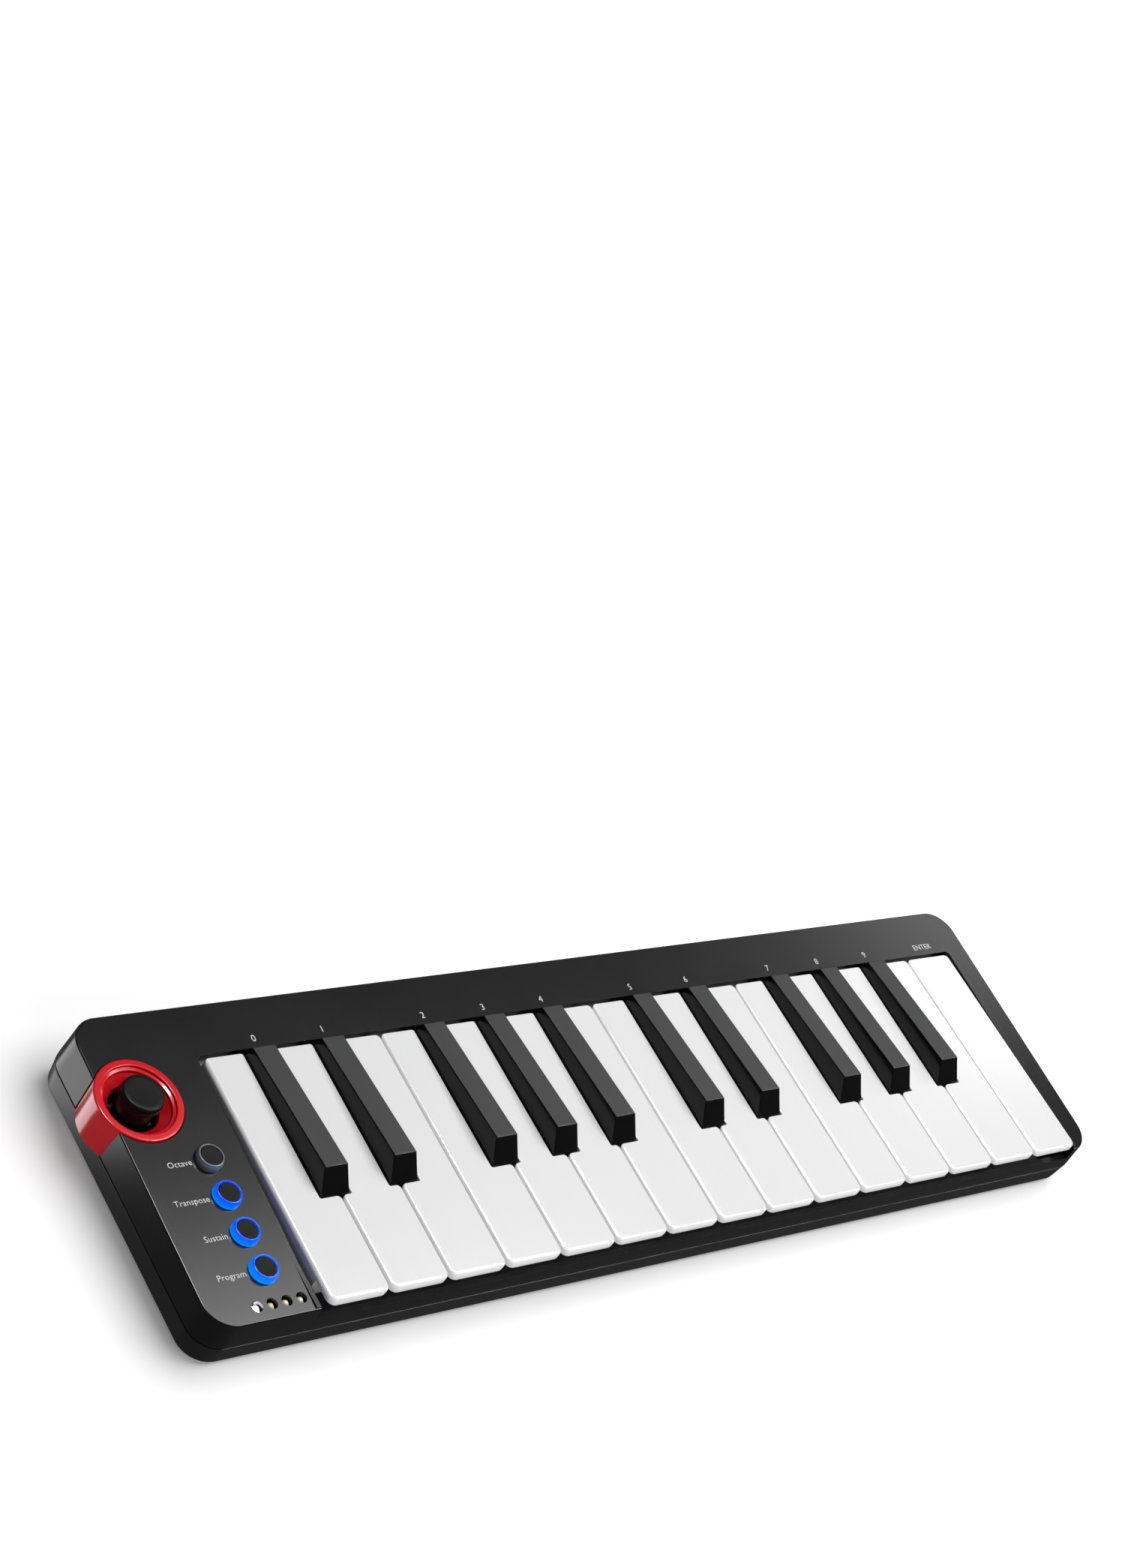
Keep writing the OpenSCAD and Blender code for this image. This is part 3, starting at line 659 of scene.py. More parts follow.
def felt_cloth(name, colour):
    """Pressed wool: short crossed fibres and a soft sheen."""
    material, tree, shader, coords = blank_material(name)
    fibres = noise(tree, coords.outputs["Object"], 3800.0, 6.0, 0.75)
    lighter = tuple(min(1.0, part * 2.2) for part in colour)
    wire(tree, mix_colour(tree, fibres, (*colour, 1), (*lighter, 1)), shader.inputs["Base Color"])
    bump = tree.nodes.new("ShaderNodeBump")
    bump.inputs["Distance"].default_value = 0.15 * MM
    wire(tree, fibres, bump.inputs["Height"])
    wire(tree, bump.outputs["Normal"], shader.inputs["Normal"])
    wire(tree, maths(tree, "ADD", maths(tree, "MULTIPLY", fibres, 0.1), 0.88), shader.inputs["Roughness"])
    shader.inputs["Sheen Weight"].default_value = 0.4
    return material


# both case finishes get a faint lighter grey painted on their rounded edges as a highlight
SATIN_BLACK = moulded(
    "satin_black_top", (0.003, 0.003, 0.0032), 0.2,
    grain=4200.0, depth=0.006, drift=0.1, uneven=0.04, painted_sheen=0.03)
SATIN_BOTTOM = moulded(
    "satin_black_bottom", (0.006, 0.006, 0.0064), 0.33,
    grain=3200.0, depth=0.012, drift=0.1, uneven=0.06, painted_sheen=0.05)
RING_RED = moulded("bezel_red", (0.62, 0.004, 0.012), 0.2, grain=1800.0, depth=0.006, drift=0.05, coat=0.6)
KEY_WHITE = moulded(
    "key_white", (0.79, 0.79, 0.795), 0.16, grain=700.0, depth=0.003, drift=0.01, uneven=0.04, coat=0.3)
# the first colour is the top face's lighter grey, painted light on the matt top
KEY_BLACK = two_finish_black("key_black", (0.045, 0.045, 0.046), (0.003, 0.003, 0.0032), 0.42, 0.16)
RUBBER = moulded("foot_rubber", (0.018, 0.018, 0.018), 0.8, grain=2600.0, depth=0.05, drift=0.15)
SCREW_STEEL = brushed_metal("screw_zinc", (0.62, 0.62, 0.65), 0.35, (1, 1, 0.1))
ROD_STEEL = brushed_metal("rod_ground_steel", (0.7, 0.7, 0.72), 0.22, (0.02, 1, 1))
SOCKET_STEEL = brushed_metal("socket_nickel", (0.72, 0.71, 0.68), 0.26, (1, 0.05, 1))
FRAME_GREY = moulded("keybed_grey", (0.05, 0.05, 0.055), 0.6, grain=2200.0, depth=0.04, drift=0.12)
BOARD_GREEN = circuit_board("board_green", (0.01, 0.12, 0.04), (0.06, 0.3, 0.1))
SILICONE = moulded("dome_silicone", (0.55, 0.55, 0.52), 0.55, grain=1500.0, depth=0.03, drift=0.08)
FELT = felt_cloth("stop_felt", (0.16, 0.015, 0.025))
SWITCH_BLACK = moulded("switch_black", (0.006, 0.006, 0.006), 0.5, grain=2800.0, depth=0.02, specular=0.25)
BOARD_BLACK = circuit_board("board_black", (0.008, 0.008, 0.009), (0.03, 0.03, 0.03))
RIBBON = moulded("ribbon_grey", (0.45, 0.45, 0.46), 0.4, grain=900.0, depth=0.05, drift=0.12)
CAP_BLACK = moulded(
    "button_cap_black", (0.006, 0.006, 0.0065), 0.45, grain=5000.0, depth=0.015, drift=0.1, specular=0.12)
PLUNGER = moulded("plunger_ivory", (0.7, 0.68, 0.6), 0.4, grain=2500.0, depth=0.02)
GIMBAL = moulded("gimbal_black", (0.008, 0.008, 0.008), 0.5, grain=2500.0, depth=0.02, specular=0.25)
# a faint lighter grey is painted on the cap's rounded edges as a highlight; the dust is real
STICK_BLACK = moulded(
    "stick_soft_black", (0.004, 0.004, 0.0042), 0.35,
    grain=4200.0, depth=0.015, drift=0.12, painted_sheen=0.05, dust=0.005, specular=0.14)
LEGEND_GREY = moulded("legend_print", (0.72, 0.73, 0.75), 0.5, grain=6000.0, depth=0.004, drift=0.05)
LED_CERAMIC = moulded("led_ceramic", (0.75, 0.73, 0.66), 0.35, grain=5000.0, depth=0.01)
LED_LENS = moulded("led_lens", (0.8, 0.74, 0.55), 0.12, grain=3000.0, depth=0.004, coat=0.8)
LED_GOLD = brushed_metal("led_pad_gold", (0.85, 0.62, 0.25), 0.25, (1, 1, 1))
SLEEVE_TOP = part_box("program_sleeve")[1].z
SLEEVE_BLUE = lit_sleeve(
    "sleeve_lit_blue", SLEEVE_TOP - 2.4 * MM, SLEEVE_TOP + 0.9 * MM, (0.0, 0.035, 0.75), (0.0, 0.3, 1.0), 1.0)
SLEEVE_UNLIT = moulded(
    "sleeve_smoke", (0.15, 0.18, 0.215), 0.25, grain=2500.0, depth=0.01, drift=0.1, coat=0.4)
LED_LIT = lit_sleeve("led_lens_lit", 0.0, 1.0, (0.95, 0.97, 1.0), (1.0, 1.0, 1.0), 12.0)


# ---------------------------------------------------------------- case

SCREW_HEAD = 2.4 * MM
BASS_SCREW_X = CASE_LOW.x + WALL + 3.2 * MM
STRIP_SCREW_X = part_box("case_screws")[1].x - SCREW_HEAD
CORNER_SCREW_Y = CASE_HIGH.y - WALL - 3.7 * MM
BACK_SCREW_Y = CASE_HIGH.y - WALL - 2.7 * MM
SCREW_PLACES = [
    (BASS_SCREW_X, CASE_LOW.y + 8.5 * MM),
    (BASS_SCREW_X, CORNER_SCREW_Y),
    (SLOT_LEFT - 3 * MM, BACK_SCREW_Y),
    *[(KEYS_LEFT + keys_along * KEY_PITCH, BACK_SCREW_Y) for keys_along in (4, 8, 12)],
    (STRIP_SCREW_X, CORNER_SCREW_Y),
    (STRIP_SCREW_X, CASE_LOW.y + 12 * MM),
]
FRAME_SCREWS_LOW, FRAME_SCREWS_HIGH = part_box("frame_screws")
FRAME_POST_PLACES = [
    *[(KEYS_LEFT + n * KEY_PITCH, FRAME_SCREWS_LOW.y + SCREW_HEAD) for n in (0.5, 4.5, 7.5, 10.5, 14.5)],
    *[(KEYS_LEFT + n * KEY_PITCH, FRAME_SCREWS_HIGH.y - SCREW_HEAD) for n in (0.5, 7.5, 14.5)],
]
BOARD_POST_X = SLOT_LEFT - 5.2 * MM
BOARD_POST_PLACES = [
    (CASE_LOW.x + 5.5 * MM, LED_Y + 14 * MM),
    (BOARD_POST_X, LED_Y + 4.8 * MM),
    (BOARD_POST_X, RING_Y),
    (CASE_LOW.x + 15 * MM, CASE_HIGH.y - 8 * MM),
]
FOOT_RADIUS = 5 * MM
FEET_LOW, FEET_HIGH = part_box("rubber_feet")
FOOT_PLACES = [
    (x, y)
    for x in (FEET_LOW.x + FOOT_RADIUS, FEET_HIGH.x - FOOT_RADIUS)
    for y in (FEET_LOW.y + FOOT_RADIUS, FEET_HIGH.y - FOOT_RADIUS)
]
BUTTON_HOLE = 4.15 * MM


def top_cover():
    """Top shell: drafted walls, a plate that rises to the back, the key slot and the control openings."""
    high = CASE_HIGH.z + MM
    body = case_block(0, PARTING + PARTING_GAP / 2, high, 0, DRAFT)
    tilt_top(body, high)
    top_edges = edges_where(body, lambda c: abs(c.z - plate_z(c.y)) < 1e-6)
    round_edges(body, top_edges, 0.45 * MM, 4)
    low_edges = edges_where(body, lambda c: abs(c.z - PARTING - PARTING_GAP / 2) < 1e-6)
    round_edges(body, low_edges, 0.25 * MM, 2)
    cover = as_object(body, "top_cover")

    cavity = case_block(WALL, PARTING - MM, high, 0, DRAFT)
    tilt_top(cavity, high, WALL)
    rebate = case_block(0.95 * MM, PARTING - MM, PARTING + 1.1 * MM)
    ribs = [
        block((x, CASE_LOW.y + WALL / 2, PARTING + 3 * MM), (x + 1.5 * MM, SLOT_BACK, plate_z(0) - MM))
        for x in (SLOT_LEFT - 1.5 * MM, SLOT_RIGHT)
    ]
    bosses = [cylinder(x, y, PARTING + 0.1 * MM, PLATE_FRONT - WALL / 2, 2.6 * MM) for x, y in SCREW_PLACES]
    pilots = [cylinder(x, y, PARTING - MM, PARTING + 5 * MM, 1.1 * MM, 24) for x, y in SCREW_PLACES]
    work(cover, cuts=[cavity, rebate])
    work(cover, adds=ribs + bosses)

    slot = block((SLOT_LEFT, CASE_LOW.y - 5 * MM, LIP_Z), (SLOT_RIGHT, SLOT_BACK, high + 9 * MM))
    back_corners = [e for e in upright_edges(slot) if e.verts[0].co.y > 0]
    round_edges(slot, back_corners, 1.6 * MM, 5)
    well = block((SLOT_LEFT, CASE_LOW.y + WALL, PARTING - MM), (SLOT_RIGHT, SLOT_BACK, LIP_Z + MM))
    holes = [cylinder(RING_X, RING_Y, PARTING - MM, high + MM, RING_RADIUS + 0.25 * MM, 96)]
    for name in BUTTONS:
        centre = middle(f"{name}_sleeve")
        holes.append(cylinder(centre.x, centre.y, PARTING, high + MM, BUTTON_HOLE, 64))
    for spot in LED_PLACES:
        holes.append(cylinder(spot.x, spot.y, PARTING, high + MM, LED_HOLE, 40))
    usb_low, usb_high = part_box("usb_socket")
    margin = 0.3 * MM
    usb = block(
        (usb_low.x - margin, CASE_HIGH.y - WALL - MM, usb_low.z - margin),
        (usb_high.x + margin, CASE_HIGH.y + MM, usb_high.z + margin))
    long_edges = [e for e in usb.edges if abs((e.verts[0].co - e.verts[1].co).normalized().y) > 0.9]
    round_edges(usb, long_edges, 1.7 * MM, 6)
    work(cover, cuts=[slot, well, usb] + holes + pilots)
    soften(cover, 0.28 * MM, 3)
    shade(cover)
    return place(cover, "top_cover", "case", SATIN_BLACK, ["top_shell"])


def bottom_cover():
    """Bottom shell: rounded foot, a tongue behind the parting line, screw wells and bosses."""
    top = PARTING - PARTING_GAP / 2
    body = case_block(0, CASE_LOW.z, top, 0.6 * MM, 0)
    low_edges = edges_where(body, lambda c: abs(c.z - CASE_LOW.z) < 1e-6)
    round_edges(body, low_edges, 1.2 * MM, 5)
    high_edges = edges_where(body, lambda c: abs(c.z - top) < 1e-6)
    round_edges(body, high_edges, 0.25 * MM, 2)
    cover = as_object(body, "bottom_cover")
    tongue = case_block(1.1 * MM, PARTING - 2 * MM, PARTING + 0.9 * MM)
    cavity = case_block(WALL, FLOOR, PARTING + 5 * MM)
    round_edges(cavity, edges_where(cavity, lambda c: abs(c.z - FLOOR) < 1e-6), 0.8 * MM, 3)
    work(cover, adds=[tongue], cuts=[cavity])
    board_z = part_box("control_board")[0].z
    frame_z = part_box("keybed_frame")[0].z
    posts = [cylinder(x, y, CASE_LOW.z + MM, top, 3.0 * MM) for x, y in SCREW_PLACES]
    posts += [cylinder(x, y, CASE_LOW.z + MM, frame_z, 2.6 * MM) for x, y in FRAME_POST_PLACES]
    posts += [cylinder(x, y, CASE_LOW.z + MM, board_z, 2.2 * MM) for x, y in BOARD_POST_PLACES]
    holes = []
    for x, y in SCREW_PLACES:
        holes.append(cylinder(x, y, CASE_LOW.z - MM, PARTING + 2 * MM, 1.5 * MM, 32))
        holes.append(cylinder(x, y, CASE_LOW.z - MM, CASE_LOW.z + 3 * MM, SCREW_HEAD + 0.3 * MM, 40))
    holes += [cylinder(x, y, FLOOR - MM, frame_z + MM, 1.0 * MM, 24) for x, y in FRAME_POST_PLACES]
    for x, y in FOOT_PLACES:
        holes.append(cylinder(x, y, CASE_LOW.z - MM, CASE_LOW.z + 0.6 * MM, FOOT_RADIUS + 0.2 * MM, 56))
    work(cover, adds=posts)
    work(cover, cuts=holes)
    soften(cover, 0.2 * MM, 2)
    shade(cover)
    return place(cover, "bottom_cover", "case", SATIN_BOTTOM, ["bottom_shell"])


def red_bezel():
    """Stepped red dish round the joystick; outside the left wall it reaches down to the parting line."""
    top = RING_HIGH.z - RING_RADIUS * PLATE_SLOPE
    floor = top - 4.9 * MM
    radius = RING_RADIUS - 0.02 * MM
    profile = [
        (radius, floor, 0), (radius, top, 0.45 * MM), (radius - 2.1 * MM, top, 0.25 * MM),
        (radius - 2.15 * MM, top - 0.75 * MM, 0.12 * MM), (radius - 3.0 * MM, top - 0.95 * MM, 0.12 * MM),
        (radius - 3.15 * MM, top - 1.7 * MM, 0.2 * MM), (DISH_HOLE + 0.1 * MM, floor + 1.0 * MM, 0.3 * MM),
        (DISH_HOLE, floor, 0),
    ]
    dish = turned(profile, RING_X, RING_Y, 128)
    for v in dish.verts:
        if v.co.z > floor + 1e-6:
            v.co.z += (v.co.y - RING_Y) * PLATE_SLOPE
    bezel = as_object(dish, "red_bezel")
    skirt = as_object(cylinder(RING_X, RING_Y, PARTING + 0.05 * MM, floor + 2.5 * MM, radius, 128))
    outside = as_object(block(
        (CASE_LOW.x - 20 * MM, RING_Y - 20 * MM, PARTING - MM),
        (CASE_LOW.x + WALL - 0.2 * MM, RING_Y + 20 * MM, CASE_HIGH.z)))
    crop = skirt.modifiers.new("crop", "BOOLEAN")
    crop.operation = "INTERSECT"
    crop.solver = "EXACT"
    crop.object = outside
    settle(skirt)
    outer_wall = bmesh.new()
    outer_wall.from_mesh(skirt.data)
    bpy.data.objects.remove(skirt)
    bpy.data.objects.remove(outside)
    bore = cylinder(RING_X, RING_Y, PARTING - MM, floor + 1.2 * MM, DISH_HOLE, 96)
    work(bezel, adds=[outer_wall], cuts=[bore])
    soften(bezel, 0.2 * MM, 2, 60)
    shade(bezel, 35)
    return place(bezel, "red_bezel", "case", RING_RED, ["joystick_ring"])


def rubber_feet():
    """Four round feet with a soft lower edge and a shallow ring in the sole."""
    top = FEET_HIGH.z
    profile = [
        (0, 0.25 * MM, 0), (3.2 * MM, 0.25 * MM, 0.1 * MM), (3.4 * MM, 0, 0.1 * MM),
        (FOOT_RADIUS - 0.1 * MM, 0, 0.45 * MM), (FOOT_RADIUS - 0.05 * MM, top, 0.15 * MM), (0, top, 0),
    ]
    feet = as_object(merged(*[turned(profile, x, y, 56) for x, y in FOOT_PLACES]), "feet")
    shade(feet)
    return place(feet, "foot_pads", "case", RUBBER, ["rubber_feet"])


# ---------------------------------------------------------------- keys

BLACK_MIDDLES = [middle(node).x for node in BLACK_KEYS]


def tail_sides(left, right):
    """The tail of a white key lies between the cut-outs of the black keys beside it."""
    tail_left, tail_right = left, right
    for centre in BLACK_MIDDLES:
        if abs(centre - left) < CUTOUT / 2:
            tail_left = centre + CUTOUT / 2
        if abs(centre - right) < CUTOUT / 2:
            tail_right = centre - CUTOUT / 2
    return tail_left, tail_right


def arm_and_post(left, right, post_x, post_radius=1.7 * MM):
    """The arm behind a key with its eye, and the post over its contact dome."""
    arm = block((left, KEY_BACK - 4 * MM, ROD_Z - 1.8 * MM), (right, ROD_Y, ROD_Z + 2.4 * MM))
    eye = cross_rod(left + 0.01 * MM, right - 0.01 * MM, ROD_Y, ROD_Z, EYE_RADIUS)
    post = cylinder(post_x, DOME_Y, ROD_Z - 3 * MM, WHITE_TOP - MM, post_radius, 32)
    bore = cross_rod(left - MM, right + MM, ROD_Y, ROD_Z, ROD_HOLE)
    return [arm, eye, post], bore


def white_key(node):
    """A white key: broad nose with a thin free lip, a tail beside the black keys, hollow underneath."""
    low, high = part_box(node)
    left, right = low.x, high.x
    tail_left, tail_right = tail_sides(left, right)
    outline = [(left, NOSE_Y, NOSE_CORNER), (right, NOSE_Y, NOSE_CORNER)]
    if tail_right < right:
        outline += [(right, SHOULDER_Y, 1.3 * MM), (tail_right, SHOULDER_Y, CUTOUT_CORNER)]
    outline.append((tail_right, KEY_BACK, 0.9 * MM if tail_right < right else TAIL_CORNER))
    outline.append((tail_left, KEY_BACK, 0.9 * MM if tail_left > left else TAIL_CORNER))
    if tail_left > left:
        outline += [(tail_left, SHOULDER_Y, CUTOUT_CORNER), (left, SHOULDER_Y, 1.7 * MM)]

    def roll_at(point, outward):
        """Wide along the front and the bass side, slim on the treble side and beside the black keys."""
        if point.y > SHOULDER_Y - 0.1 * MM and point.x > left + 0.1 * MM:
            return ROLL_SLIM
        share = min(max(outward.x, outward.y, 0) / 0.7, 1)
        return ROLL_WIDE + (ROLL_SLIM - ROLL_WIDE) * share

    key = as_object(rolled_prism(filleted(outline, 7), SKIRT_Z, WHITE_TOP, roll_at), node)
    under = WHITE_TOP - KEY_SKIN
    nose_hollow = block(
        (left + KEY_WALL, SKIRT_FRONT + KEY_WALL, 0), (right - KEY_WALL, SHOULDER_Y - KEY_WALL, under))
    tail_hollow = block(
        (tail_left + KEY_WALL, SHOULDER_Y - 2 * KEY_WALL, 0),
        (tail_right - KEY_WALL, KEY_BACK - KEY_WALL, under))
    free_nose = block((left - MM, NOSE_Y - MM, 0), (right + MM, SKIRT_FRONT, under))
    work(key, cuts=[free_nose, nose_hollow, tail_hollow])
    adds, bore = arm_and_post(tail_left + 1.2 * MM, tail_right - 1.2 * MM, (tail_left + tail_right) / 2)
    work(key, adds=adds, cuts=[bore])
    soften(key, 0.18 * MM, 2, 60)
    shade(key, 45)
    return place(key, node + "_keytop", node, KEY_WHITE, [node])


def black_key(node):
    """A black key: a tapered block with a leaning front over a straight skirt."""
    low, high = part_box(node)
    x = (low.x + high.x) / 2
    front = SHOULDER_Y + (CUTOUT - BLACK_WIDTH) / 2
    back = KEY_BACK - 0.4 * MM
    skirt_z = SKIRT_Z - MM
    half = BLACK_WIDTH / 2
    body = block((x - half, front, skirt_z), (x + half, back, WHITE_TOP))
    top = next(f for f in body.faces if f.normal.z > 0.9)
    made = bmesh.ops.extrude_discrete_faces(body, faces=[top])
    face = made["faces"][0]
    taper = (BLACK_TOP_WIDTH / BLACK_WIDTH, 1, 1)
    bmesh.ops.scale(body, vec=taper, space=Matrix.Translation((-x, 0, 0)), verts=face.verts)
    for v in face.verts:
        at_front = v.co.y < 0
        v.co.y += BLACK_LEAN if at_front else 0
        v.co.z = high.z if at_front else WHITE_TOP + BLACK_BACK_RISE
    top_edges = list(face.edges)
    corners = [e for e in body.edges if e not in top_edges and abs(e.verts[0].co.z - e.verts[1].co.z) > MM]
    round_edges(body, top_edges + corners, 0.38 * MM, 3)
    bmesh.ops.recalc_face_normals(body, faces=body.faces)
    key = as_object(body, node)
    hollow = block(
        (x - half + KEY_WALL, front + KEY_WALL, 0),
        (x + half - KEY_WALL, back - KEY_WALL, WHITE_TOP - 0.5 * MM))
    work(key, cuts=[hollow])
    adds, bore = arm_and_post(x - 3.6 * MM, x + 3.6 * MM, x)
    work(key, adds=adds, cuts=[bore])
    soften(key, 0.15 * MM, 2, 60)
    shade(key, 35)
    return place(key, node + "_keytop", node, KEY_BLACK, [node])


# ---------------------------------------------------------------- controls

def push_button(name, sleeve_material):
    """A translucent sleeve that bulges a little, and a black cap inside it."""
    low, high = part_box(f"{name}_sleeve")
    x, y = (low.x + high.x) / 2, (low.y + high.y) / 2
    top = high.z
    inner = 3.2 * MM
    outer = 4 * MM
    flange = 4.8 * MM
    flange_z = low.z + 0.9 * MM
    sleeve = as_object(turned([
        (inner, low.z, 0), (flange, low.z, 0.15 * MM), (flange, flange_z, 0.15 * MM),
        (outer, flange_z, 0.1 * MM), (outer, top - 1.1 * MM, 0.7 * MM),
        (outer - 0.42 * MM, top, 0.28 * MM), (inner, top, 0.1 * MM)], x, y), "sleeve")
    shade(sleeve)
    place(sleeve, f"{name}_light_sleeve", f"{name}_button", sleeve_material, [f"{name}_sleeve"])
    cap_low, cap_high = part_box(f"{name}_cap")
    cap_top = cap_high.z
    cap_radius = inner - 0.08 * MM
    cap = as_object(turned([
        (0, cap_low.z, 0), (1.5 * MM, cap_low.z, 0.1 * MM), (1.5 * MM, cap_top - 2.1 * MM, 0),
        (cap_radius, cap_top - 2.1 * MM, 0.1 * MM), (cap_radius, cap_top, 0.3 * MM),
        (2.2 * MM, cap_top - 0.05 * MM, 0.6 * MM), (0, cap_top - 0.12 * MM, 0)], x, y, 64), "cap")
    shade(cap)
    place(cap, f"{name}_button_cap", f"{name}_button", CAP_BLACK, [f"{name}_cap"])


def joystick_cap():
    """Thumb cap: dished top, double rim, waist, and a skirt that closes the dish hole."""
    low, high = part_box("joystick_cap")
    centre = middle("joystick_cap")
    top = high.z
    cap = as_object(turned([
        (2.0 * MM, low.z, 0), (5.55 * MM, low.z, 0.3 * MM), (5.35 * MM, low.z + 1.4 * MM, 0.4 * MM),
        (4.4 * MM, top - 4.15 * MM, 0.5 * MM), (4.9 * MM, top - 3.75 * MM, 0.3 * MM),
        (6.25 * MM, top - 2.6 * MM, 0.35 * MM), (6.25 * MM, top - 1.75 * MM, 0.2 * MM),
        (6.0 * MM, top - 1.62 * MM, 0.06 * MM), (6.0 * MM, top - 1.45 * MM, 0.06 * MM),
        (6.1 * MM, top - 1.35 * MM, 0.1 * MM), (6.05 * MM, top - 0.05 * MM, 0.8 * MM),
        (4.6 * MM, top, 2.0 * MM), (0, top - 0.12 * MM, 0), (0, top - 1.5 * MM, 0),
        (2.0 * MM, top - 1.5 * MM, 0)], centre.x, centre.y, 96), "cap")
    shade(cap)
    return place(cap, "joystick_thumb_cap", "joystick", STICK_BLACK, ["joystick_cap"])


LED_BASE_HEIGHT = 1.2 * MM
LED_PAD_HEIGHT = 1.1 * MM
LED_LENS_RADIUS = 1.0 * MM
LED_LENS_RISE = 0.95 * MM


def raised_block(spot, half_width, half_depth, height, rounding):
    """A small box with rounded edges that stands on a board."""
    reach = Vector((half_width, half_depth, 0))
    bm = block(spot - reach, spot + reach + UP * height)
    round_edges(bm, list(bm.edges), rounding, 2)
    return bm


def status_light(number, spot, lit):
    """A small surface-mount light: ceramic base, two gold pads and a clear lens, which glow if it is lit."""
    base = raised_block(spot, 0.85 * MM, 0.95 * MM, LED_BASE_HEIGHT, 0.12 * MM)
    pads = []
    for side in (-1, 1):
        pad_spot = spot + Vector((side * 0.96 * MM, 0, 0))
        pads.append(raised_block(pad_spot, 0.13 * MM, 0.85 * MM, LED_PAD_HEIGHT, 0.06 * MM))
    lens = bmesh.new()
    bmesh.ops.create_uvsphere(lens, u_segments=28, v_segments=14, radius=LED_LENS_RADIUS)
    bmesh.ops.translate(lens, vec=spot + UP * LED_LENS_RISE, verts=lens.verts)
    for label, parts, material in (
        ("base", [base], LED_LIT if lit else LED_CERAMIC),
        ("pads", pads, LED_GOLD),
        ("lens", [lens], LED_LIT if lit else LED_LENS),
    ):
        piece = as_object(merged(*parts), "led")
        shade(piece)
        stands = ["status_leds"] if number == 1 and label == "base" else []
        place(piece, f"status_light_{number}_{label}", "case", material, stands)


CAPITAL_SHARE = 0.72  # a capital's height as a share of the font size


def legend(name, words, x, y, height, align="CENTER"):
    """Printed lettering on the plate; x is its middle or its right end, y is its middle."""
    curve = bpy.data.curves.new(name, "FONT")
    curve.body = words
    curve.align_x = align
    curve.align_y = "CENTER"
    curve.size = height / CAPITAL_SHARE
    curve.space_character = 1.03
    curve.resolution_u = 3
    curve.extrude = 0.01 * MM
    curve.offset = -0.006 * curve.size
    writing = bpy.data.objects.new(name, curve)
    bpy.context.scene.collection.objects.link(writing)
    bpy.context.view_layer.update()
    graph = bpy.context.evaluated_depsgraph_get()
    mesh = bpy.data.meshes.new_from_object(writing.evaluated_get(graph), depsgraph=graph)
    bpy.data.objects.remove(writing)
    lean = Matrix.Rotation(math.atan(PLATE_SLOPE), 4, "X")
    mesh.transform(Matrix.Translation((x, y, plate_z(y) + 0.012 * MM)) @ lean)
    printed = bpy.data.objects.new(name, mesh)
    bpy.context.scene.collection.objects.link(printed)
    return place(printed, name, "case", LEGEND_GREY)


# ---------------------------------------------------------------- build

top_cover()
bottom_cover()
red_bezel()
rubber_feet()
for key_node in WHITE_KEYS:
    white_key(key_node)
for key_node in BLACK_KEYS:
    black_key(key_node)

push_button("octave", SLEEVE_UNLIT)
for button in BUTTONS[1:]:
    push_button(button, SLEEVE_BLUE)
joystick_cap()
for index, place_of_light in enumerate(LED_PLACES):
    status_light(index + 1, place_of_light, index == 0)

WORD_RIGHT = SLOT_LEFT - 16.8 * MM
for button in BUTTONS:
    word_y = middle(f"{button}_sleeve").y
    legend(f"{button}_word", button.capitalize(), WORD_RIGHT, word_y, 1.82 * MM, "RIGHT")
DIGIT_Y = SLOT_BACK + 2.9 * MM
for digit, centre_x in enumerate(BLACK_MIDDLES):
    legend(f"digit_{digit}", str(digit), centre_x + 1.2 * MM, DIGIT_Y, 2.2 * MM)
legend("enter_word", "ENTER", middle(WHITE_KEYS[-1]).x + 1.7 * MM, DIGIT_Y, 2.0 * MM)

CAD_FINISHES = {
    "case_screws": SCREW_STEEL,
    "frame_screws": SCREW_STEEL,
    "pivot_rod": ROD_STEEL,
    "keybed_frame": FRAME_GREY,
    "key_board": BOARD_GREEN,
    "control_board": BOARD_GREEN,
    "led_board": BOARD_BLACK,
    "dome_strip": SILICONE,
    "stop_felts": FELT,
    "switch_bodies": SWITCH_BLACK,
    "ribbon_cable": RIBBON,
    "usb_socket": SOCKET_STEEL,
    "joystick_housing": SWITCH_BLACK,
    "joystick_gimbal": GIMBAL,
    "joystick_stick": GIMBAL,
    **{f"{button}_plunger": PLUNGER for button in BUTTONS},
}
for node, finish in CAD_FINISHES.items():
    for material_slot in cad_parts[node].material_slots:
        material_slot.material = finish


# ---------------------------------------------------------------- floor, light and camera

def card(name, centre, size, strength):
    """A glowing card that only reflections see."""
    bpy.ops.mesh.primitive_plane_add(size=1)
    made = bpy.context.active_object
    made.name = name
    made.scale = (*size, 1)
    made.location = centre
    glow, tree, shader, _ = blank_material(name + "_glow")
    shader.inputs["Base Color"].default_value = (0, 0, 0, 1)
    shader.inputs["Emission Color"].default_value = (1, 1, 1, 1)
    shader.inputs["Emission Strength"].default_value = strength
    glow.cycles.emission_sampling = "NONE"
    made.data.materials.append(glow)
    made.visible_camera = False
    made.visible_diffuse = False
    made.visible_shadow = False


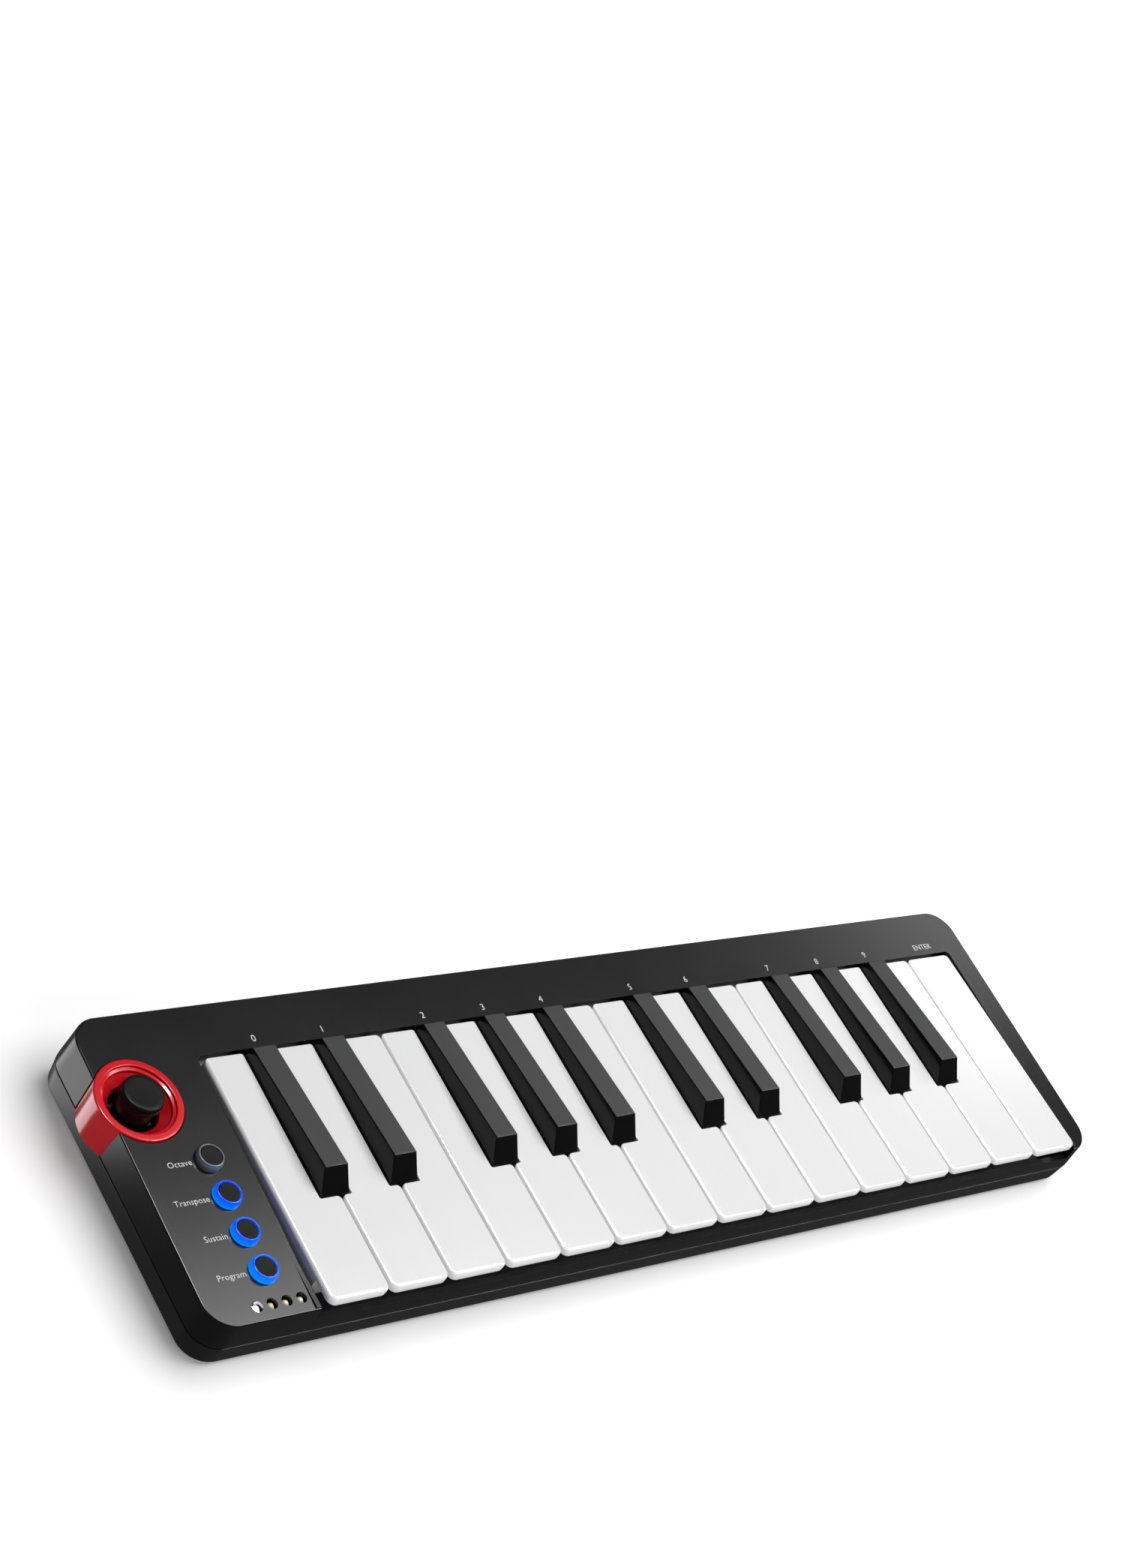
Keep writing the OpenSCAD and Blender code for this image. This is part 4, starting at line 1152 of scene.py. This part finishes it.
FLOOR_SIZE = 40
FLOOR_GLOW_NEAR, FLOOR_GLOW_START, FLOOR_GLOW_END = 0.16, 0.2, 1.2
LIGHTS = [  # name, place, width, depth, radiance; each aims at the origin
    ("overhead", (0.30, -0.02, 1.0), 1.1, 0.9, 4.15),
    ("front_fill", (-0.1, -0.9, 0.65), 0.9, 0.5, 1.6),
]
CARDS = [  # name, place, size, strength
    ("left_card", (-0.30, 0.20, -0.12), (0.2, 0.2), 2.6),
    ("left_rim", (-0.05, 0.33, 1.02), (0.35, 0.14), 40.0),
    ("front_rim", (1.0, -0.30, 1.02), (1.3, 0.08), 40.0),
    ("panel_glow", (0.60, 0.20, 1.03), (0.6, 0.42), 6.5),
    ("treble_glow", (1.64, 0.76, 1.03), (0.4, 0.42), 3.4),
]


def paper_floor():
    """A plain white floor that glows more with distance, so that it stays pale away from the case."""
    bpy.ops.mesh.primitive_plane_add(size=FLOOR_SIZE)
    floor = bpy.context.active_object
    floor.name = "floor"
    floor.visible_glossy = False
    paper, tree, shader, coords = blank_material("floor_paper")
    shader.inputs["Base Color"].default_value = (0.95, 0.95, 0.95, 1)
    shader.inputs["Roughness"].default_value = 0.9
    shader.inputs["Specular IOR Level"].default_value = 0.0
    distance = tree.nodes.new("ShaderNodeVectorMath")
    distance.operation = "LENGTH"
    wire(tree, coords.outputs["Object"], distance.inputs[0])
    away = tree.nodes.new("ShaderNodeMapRange")
    away.inputs["From Min"].default_value = FLOOR_GLOW_START
    away.inputs["From Max"].default_value = FLOOR_GLOW_END
    away.inputs["To Min"].default_value = FLOOR_GLOW_NEAR
    wire(tree, distance.outputs["Value"], away.inputs["Value"])
    wire(tree, away.outputs["Result"], shader.inputs["Emission Strength"])
    shader.inputs["Emission Color"].default_value = (1, 1, 1, 1)
    floor.data.materials.append(paper)


def soft_light(name, centre, width, depth, radiance):
    """A rectangular light that gloss doesn't mirror; the cards are what gloss mirrors."""
    lamp = bpy.data.lights.new(name, "AREA")
    lamp.shape = "RECTANGLE"
    lamp.size = width
    lamp.size_y = depth
    lamp.energy = radiance * math.pi * width * depth
    light = bpy.data.objects.new(name, lamp)
    bpy.context.scene.collection.objects.link(light)
    light.location = centre
    light.visible_glossy = False
    light.rotation_mode = "QUATERNION"
    light.rotation_quaternion = (-Vector(centre)).to_track_quat("-Z", "Y")


def studio():
    """Floor, dim surroundings, a soft key light from above the treble side, a front fill and the cards."""
    paper_floor()
    world = bpy.data.worlds.new("studio")
    bpy.context.scene.world = world
    world.use_nodes = True
    world.node_tree.nodes["Background"].inputs["Color"].default_value = (1, 1, 1, 1)
    world.node_tree.nodes["Background"].inputs["Strength"].default_value = 0.1
    for light in LIGHTS:
        soft_light(*light)
    for details in CARDS:
        card(*details)


CAMERA_PLACE = (-0.61693, -0.33732, 0.59665)
CAMERA_AIM = (0.67123, 0.45688, -0.58370)
CAMERA_ROLL = -36.345
CAMERA_LENS = 71.65


def camera():
    """A three-quarter view from the bass end, rolled so that the keyboard climbs across the picture."""
    lens = bpy.data.cameras.new("camera")
    lens.sensor_width = 36
    lens.lens = CAMERA_LENS
    shot = bpy.data.objects.new("camera", lens)
    bpy.context.scene.collection.objects.link(shot)
    forward = Vector(CAMERA_AIM).normalized()
    level = forward.cross(UP).normalized()
    roll = Matrix.Rotation(math.radians(CAMERA_ROLL), 3, forward)
    right = roll @ level
    up = right.cross(forward)
    turn = Matrix((right, up, -forward)).transposed()
    shot.matrix_world = Matrix.Translation(CAMERA_PLACE) @ turn.to_4x4()
    bpy.context.scene.camera = shot


studio()
camera()
bpy.context.scene.view_settings.view_transform = "Standard"
